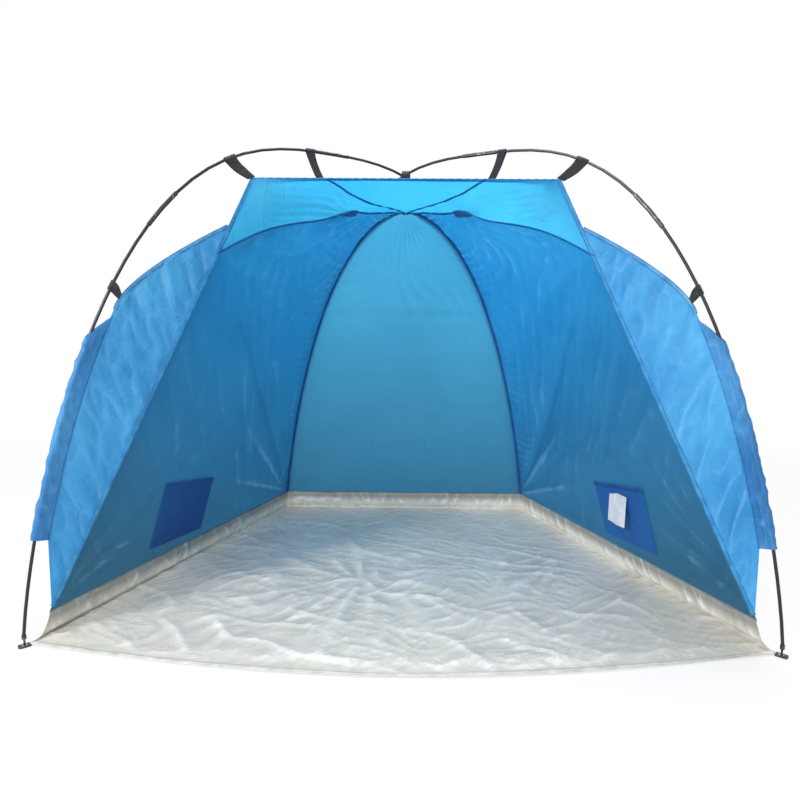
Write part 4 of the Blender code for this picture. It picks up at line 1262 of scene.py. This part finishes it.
def wall_place(side, depth, up_share, off):
    """Places off the inner face of a side wall, by y and by share of the way up the wall."""
    down = 1 - up_share
    ahead_line, rear_line = in_plane(side, *front_edge(down)), in_plane(-side, *rear_ridge(down))
    along = (depth - ahead_line[..., 1]) / (rear_line[..., 1] - ahead_line[..., 1])
    place = ahead_line * (1 - along[..., None]) + rear_line * along[..., None]
    place[..., 0] -= side * WALL_SAG * np.sin(math.pi * down) * np.sin(math.pi * along)
    inner = unit(np.cross(unit(rear_line - ahead_line), UP)) * side
    inner = np.where(inner[..., :1] * side > 0, -inner, inner)
    return place + inner * off[..., None], inner


for side, label in SIDES:
    aside, up = shares(POCKET_STEPS, POCKET_STEPS)
    depth = POCKET_FRONT + (POCKET_REAR - POCKET_FRONT) * aside
    slack = 0.0045 * np.sin(math.pi * aside) * up
    up_share = POCKET_FOOT_SHARE + (POCKET_TOP_SHARE - POCKET_FOOT_SHARE) * up
    grid, inner = wall_place(side, depth, up_share, POCKET_OFF + slack)
    waves = 0.0022 * soft_noise(grid, (0.05, 0.05, 0.04), 4.4 + side)
    waves += 0.0010 * soft_noise(grid, 0.02, 6.4 + side)
    grid = grid + inner * (waves * hem_mask(POCKET_STEPS, POCKET_STEPS, 0.15))[..., None]
    add_cloth(
        f"pocket_cloth_{label}", grid, pocket_finish, "pocket_cloth", node_name=f"pocket_{label}",
    )
    line = grid[-1] - [0, 0, 0.007] - inner[-1] * POCKET_HEM_SINK
    name = f"pocket_hem_{label}"
    sew(label, name, line, inner[-1], 0.014, SEAM_THICK, pocket_hem_finish, "pocket_cloth")
    print("pocket", label, "area", area_of(grid), "m2")

# %% [markdown]
# ## Tag
# The right pocket carries a white sewn-in tag. A real one would be printed; this one is blank, and
# hangs from its top edge, which is where it flips up.

# %% Tag
TAG_STEPS = 25
TAG_EDGE = 0.0006
TAG_THREAD = 0.0014


def tag_finish():
    """White woven label cloth, a little soiled in patches, with nothing printed."""
    mat = Finish("label_cloth")
    colour = mat.mix(mat.ramp(mat.mottle(28.0, 4.0), 0.35, 0.75), (206, 212, 220), (230, 233, 236))
    normal = mat.bump(mat.mottle(50.0), 0.0016, mat.bump(mat.weave(TAG_THREAD), 0.00012))
    return mat.coat(colour, 0.62, normal)


low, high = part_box("tag")
front = np.array([high.x - TAG_EDGE, low.y, high.z])
rear = np.array([low.x + TAG_EDGE, high.y, high.z])
drop = high.z - low.z
aside, down = shares(TAG_STEPS, TAG_STEPS)
grid = front + (rear - front) * aside[..., None] - UP * (drop * down)[..., None]
face = unit(np.cross(rear - front, UP))
face = -face if face[0] > 0 else face
curl = 0.0050 * down**2 * np.cos(math.pi * (aside - 0.4)) ** 2 + 0.0014 * soft_noise(grid, 0.03, 2.7) * down
grid = grid + face * curl[..., None]
tag = add_cloth("tag_cloth", grid, tag_finish(), "label", body="tag_flap", node_name="tag")
print("tag", round(float(np.linalg.norm(rear - front)), 3), "by", round(drop, 3), "m")

# %% [markdown]
# ## Webbing
# Seven loops of black webbing carry the canopy. Each goes round a pole, comes together, is sewn
# through and runs on to the cloth. The loop is drawn as a path seen along the pole, and the flat
# tape is swept along it, because a tape keeps its width while it bends.

# %% Webbing loops
WEBBING_THICK = 0.0016
WEBBING_SLACK = 0.0012
TAPE_OUTLINE = np.array([
    (-1, -0.5), (-0.9, -1), (0.9, -1), (1, -0.5), (1, 0.5), (0.9, 1), (-0.9, 1), (-1, 0.5),
])
STRAP_WIDTHS = (0.028, 0.018)
END_STRAP_WIDTHS = (0.036, 0.026)
CROSSING_WIDTHS = (0.030, 0.018)
CROSSING_RADIUS = 0.0152
END_STRAP_RUN = 0.632
MID_STRAP_RUN = 0.902
SIDE_TAB_HEIGHT = 0.965
SIDE_TAB_DROP = 0.031


def loop_path(radius, reach):
    """(aside, down) places of a tape that comes up, goes round a pole and goes back down."""
    lap = WEBBING_THICK * 0.55
    neck = min(radius * 2.2, reach * 0.6)
    spread = math.acos(min(1.0, (radius - lap) / max(neck, radius * 1.05)))
    leg = np.stack([np.full(10, lap), np.linspace(reach, neck, 10)], axis=-1)
    turns = np.linspace(spread, 2 * math.pi - spread, 41)
    ring = np.stack([np.sin(turns) * radius, np.cos(turns) * radius], axis=-1)
    return np.concatenate([leg, ring, leg[::-1] * [-1, 1]])


def add_loop(name, node_name, hub, along, anchor, radius, widths):
    """A webbing loop round a pole at its hub, running to an anchor on the cloth."""
    reach = anchor - hub
    slip = along * (reach @ along)
    pull = unit(reach - slip)
    path = loop_path(radius + WEBBING_THICK / 2, float(np.linalg.norm(reach - slip)) * 0.985)
    share = np.clip(path[:, 1] / path[:, 1].max(), 0, 1)
    line = hub + np.cross(along, pull) * path[:, :1] + pull * path[:, 1:] + slip * share[:, None] ** 1.5
    line = smoothed(line, 2)
    face = np.cross(unit(np.gradient(line, axis=0)), along)
    half = (widths[0] + (widths[1] - widths[0]) * np.clip((share - 0.55) / 0.45, 0, 1)) / 2
    aside = half[:, None] * TAPE_OUTLINE[:, 0]
    lift = face[:, None] * (TAPE_OUTLINE[:, 1:] * WEBBING_THICK / 2)
    places = line[:, None] + along * aside[..., None] + lift
    length = np.broadcast_to(walked(line)[:, None], aside.shape)
    faces = tube_faces(*aside.shape)
    cut = np.stack([length, aside], axis=-1)
    add_piece(name, places, faces, webbing, cut, "webbing", node_name=node_name)


def hung_loop(node_name, side, run, anchor, widths=STRAP_WIDTHS):
    """A loop that replaces one CAD strap, from the pole at a run to an anchor."""
    hub = in_plane(side, run, bow_height(run) + crossing_lift(side, run))
    normal = inward(run)
    along = unit(across(side) * -normal[1] + UP * normal[0])
    radius = POLE_DIAMETER / 2 + WEBBING_SLACK
    add_loop(f"{node_name}_webbing", node_name, hub, along, anchor, radius, widths)


seam_places = np.stack(roof_seam(np.linspace(0, 1, 9)), axis=-1)
peak_place = seam_places[np.argmin(np.abs(seam_places[:, 0] - PEAK_RUN))]
tab_foot = SIDE_TAB_HEIGHT - SIDE_TAB_DROP
for side, label in SIDES:
    hung_loop(f"end_strap_{label}", side, END_STRAP_RUN, roof_corners[side], END_STRAP_WIDTHS)
    hung_loop(f"middle_strap_{label}", side, MID_STRAP_RUN, in_plane(side, *peak_place))
    anchor = in_plane(side, wing_edge_run(tab_foot), tab_foot)
    hung_loop(f"side_tab_{label}", side, float(bow_run(SIDE_TAB_HEIGHT)), anchor)
hub, anchor = in_plane(1, CROSS_RUN, bow_height(CROSS_RUN)), in_plane(1, CROSS_RUN, APEX)
rightward = np.array([1.0, 0, 0])
add_loop("crossing_webbing", "crossing_strap", hub, rightward, anchor, CROSSING_RADIUS, CROSSING_WIDTHS)

# %% [markdown]
# ## Corner tabs
# At each floor corner a short piece of webbing lies on the ground with an eyelet pressed through
# it, and the pole's tip stands in the eyelet. The tab is built in rings from its hole out to its
# rounded outline and back, each with its share of the way out and its height, so that the hole is
# truly round.

# %% Corner tabs
TAB_WIDTH = 0.026
TAB_TURNS = 48
TAB_RINGS = ((0.0, 0.0), (0.97, 0.0), (1, 0.0004), (1, 0.0012), (0.97, 0.0016), (0, 0.0016))
EYELET_BARREL = 0.0086
EYELET_PLAY = 0.0004


def add_tab(node_name, foot, heading):
    """A webbing tab with a round hole, and rounded corners."""
    beside = np.cross(UP, heading)
    turns = np.linspace(0, 2 * math.pi, TAB_TURNS, endpoint=False)
    ways = np.stack([np.cos(turns), np.sin(turns)], axis=-1)
    square = 1 / (np.abs(ways[:, 0]) ** 6 + np.abs(ways[:, 1]) ** 6) ** (1 / 6)
    hole = ways * (EYELET_BARREL / 2 + EYELET_PLAY)
    rim = ways * square[:, None] * [TAB_REACH, TAB_WIDTH / 2]
    share, tall = np.array(TAB_RINGS).T[..., None, None]
    cut = hole * (1 - share) + rim * share
    places = foot + heading * cut[..., :1] + beside * cut[..., 1:] + UP * tall
    rings = len(TAB_RINGS)
    faces = [
        tuple(place % (rings * TAB_TURNS) for place in face)
        for face in grid_faces(rings + 1, TAB_TURNS, closed=True)
    ]
    piece = add_piece(f"{node_name}_webbing", places, faces, webbing, cut, "webbing", node_name=node_name)
    piece.data.set_sharp_from_angle(angle=SHARP_EDGE)


for side, label in SIDES:
    add_tab(f"corner_tab_front_{label}", in_plane(side, foot_run(False), 0), -across(side))
    add_tab(f"corner_tab_rear_{label}", in_plane(-side, foot_run(True), 0), across(-side))

# %% [markdown]
# ## Sheets

# %% Sheets
print("sheets made")

# %% [markdown]
# ## Floor and world
# The background is plain white to the camera only, so that it doesn't add to the light. The floor
# takes soft shadows near the tent and turns white farther off, so that no horizon shows.

# %% Stage
SKY = 0.38
GROUND_REACH = 60.0
GROUND_DROP = 0.0015
SHADE_SHARE = 0.34
SHADE_RANGE = (1.2, 3.2)


def seen_directly(mat):
    """1 where the camera, a reflection or a refraction looks, and 0 for other light."""
    path = mat.node("LightPath").outputs
    seen = mat.calc("MAXIMUM", path["Is Camera Ray"], path["Is Glossy Ray"])
    return mat.calc("MAXIMUM", seen, path["Is Transmission Ray"])


floor_mesh = bpy.data.meshes.new("floor")
square = [(x * GROUND_REACH, y * GROUND_REACH, 0) for x, y in ((-1, -1), (1, -1), (1, 1), (-1, 1))]
floor_mesh.from_pydata(square, [], [(0, 1, 2, 3)])
floor = bpy.data.objects.new("floor", floor_mesh)
scene.collection.objects.link(floor)
floor.location.z = -GROUND_DROP
mat = Finish("studio_floor")
parts = mat.split(mat.place)
far_off = mat.calc("SQRT", mat.plus(mat.calc("POWER", parts[0], 2.0), mat.calc("POWER", parts[1], 2.0)))
open_ground = mat.plus(mat.times(mat.ramp(far_off, *SHADE_RANGE), SHADE_SHARE), 1 - SHADE_SHARE)
matt = mat.node("BsdfDiffuse", {"Color": (0.86, 0.86, 0.86, 1)}).outputs[0]
white = mat.node("Emission", {"Color": (1, 1, 1, 1), "Strength": 1.0}).outputs[0]
both = mat.node("MixShader", {0: mat.times(seen_directly(mat), open_ground), 1: matt, 2: white}).outputs[0]
mat.tree.links.new(both, mat.output.inputs["Surface"])
floor_mesh.materials.append(mat.made)

world = bpy.data.worlds.new("studio")
world.use_nodes = True
mat = Recipe(world.node_tree)
strength = mat.plus(mat.times(seen_directly(mat), 1 - SKY), SKY)
sky = mat.node("Background", {"Color": (1, 1, 1, 1), "Strength": strength}).outputs[0]
mat.node("OutputWorld", {"Surface": sky})
scene.world = world
print("stage ready")

# %% [markdown]
# ## Lamps
# A large soft lamp above and two weaker ones beside it light the tent like an open sky, and the
# glow inside comes through the cloth by itself.

# %% Lamps
LAMPS = (
    ("sky_lamp", (0.8, 0.5, 4.0), (0, 0, 0.6), 2.2, 130),
    ("sun_side_lamp", (-3.4, -2.8, 2.6), (0.4, 0, 0.5), 0.8, 108),
    ("front_lamp", (-1.5, -4.5, 2.4), (0, -0.4, 0.1), 1.3, 76),
)
for name, place, target, size, power in LAMPS:
    lamp = bpy.data.lights.new(name, "AREA")
    lamp.size = size
    lamp.energy = power
    made = bpy.data.objects.new(name, lamp)
    made.location = place
    made.rotation_euler = (Vector(target) - Vector(place)).to_track_quat("-Z", "Y").to_euler()
    scene.collection.objects.link(made)
print("lamps", len(LAMPS))
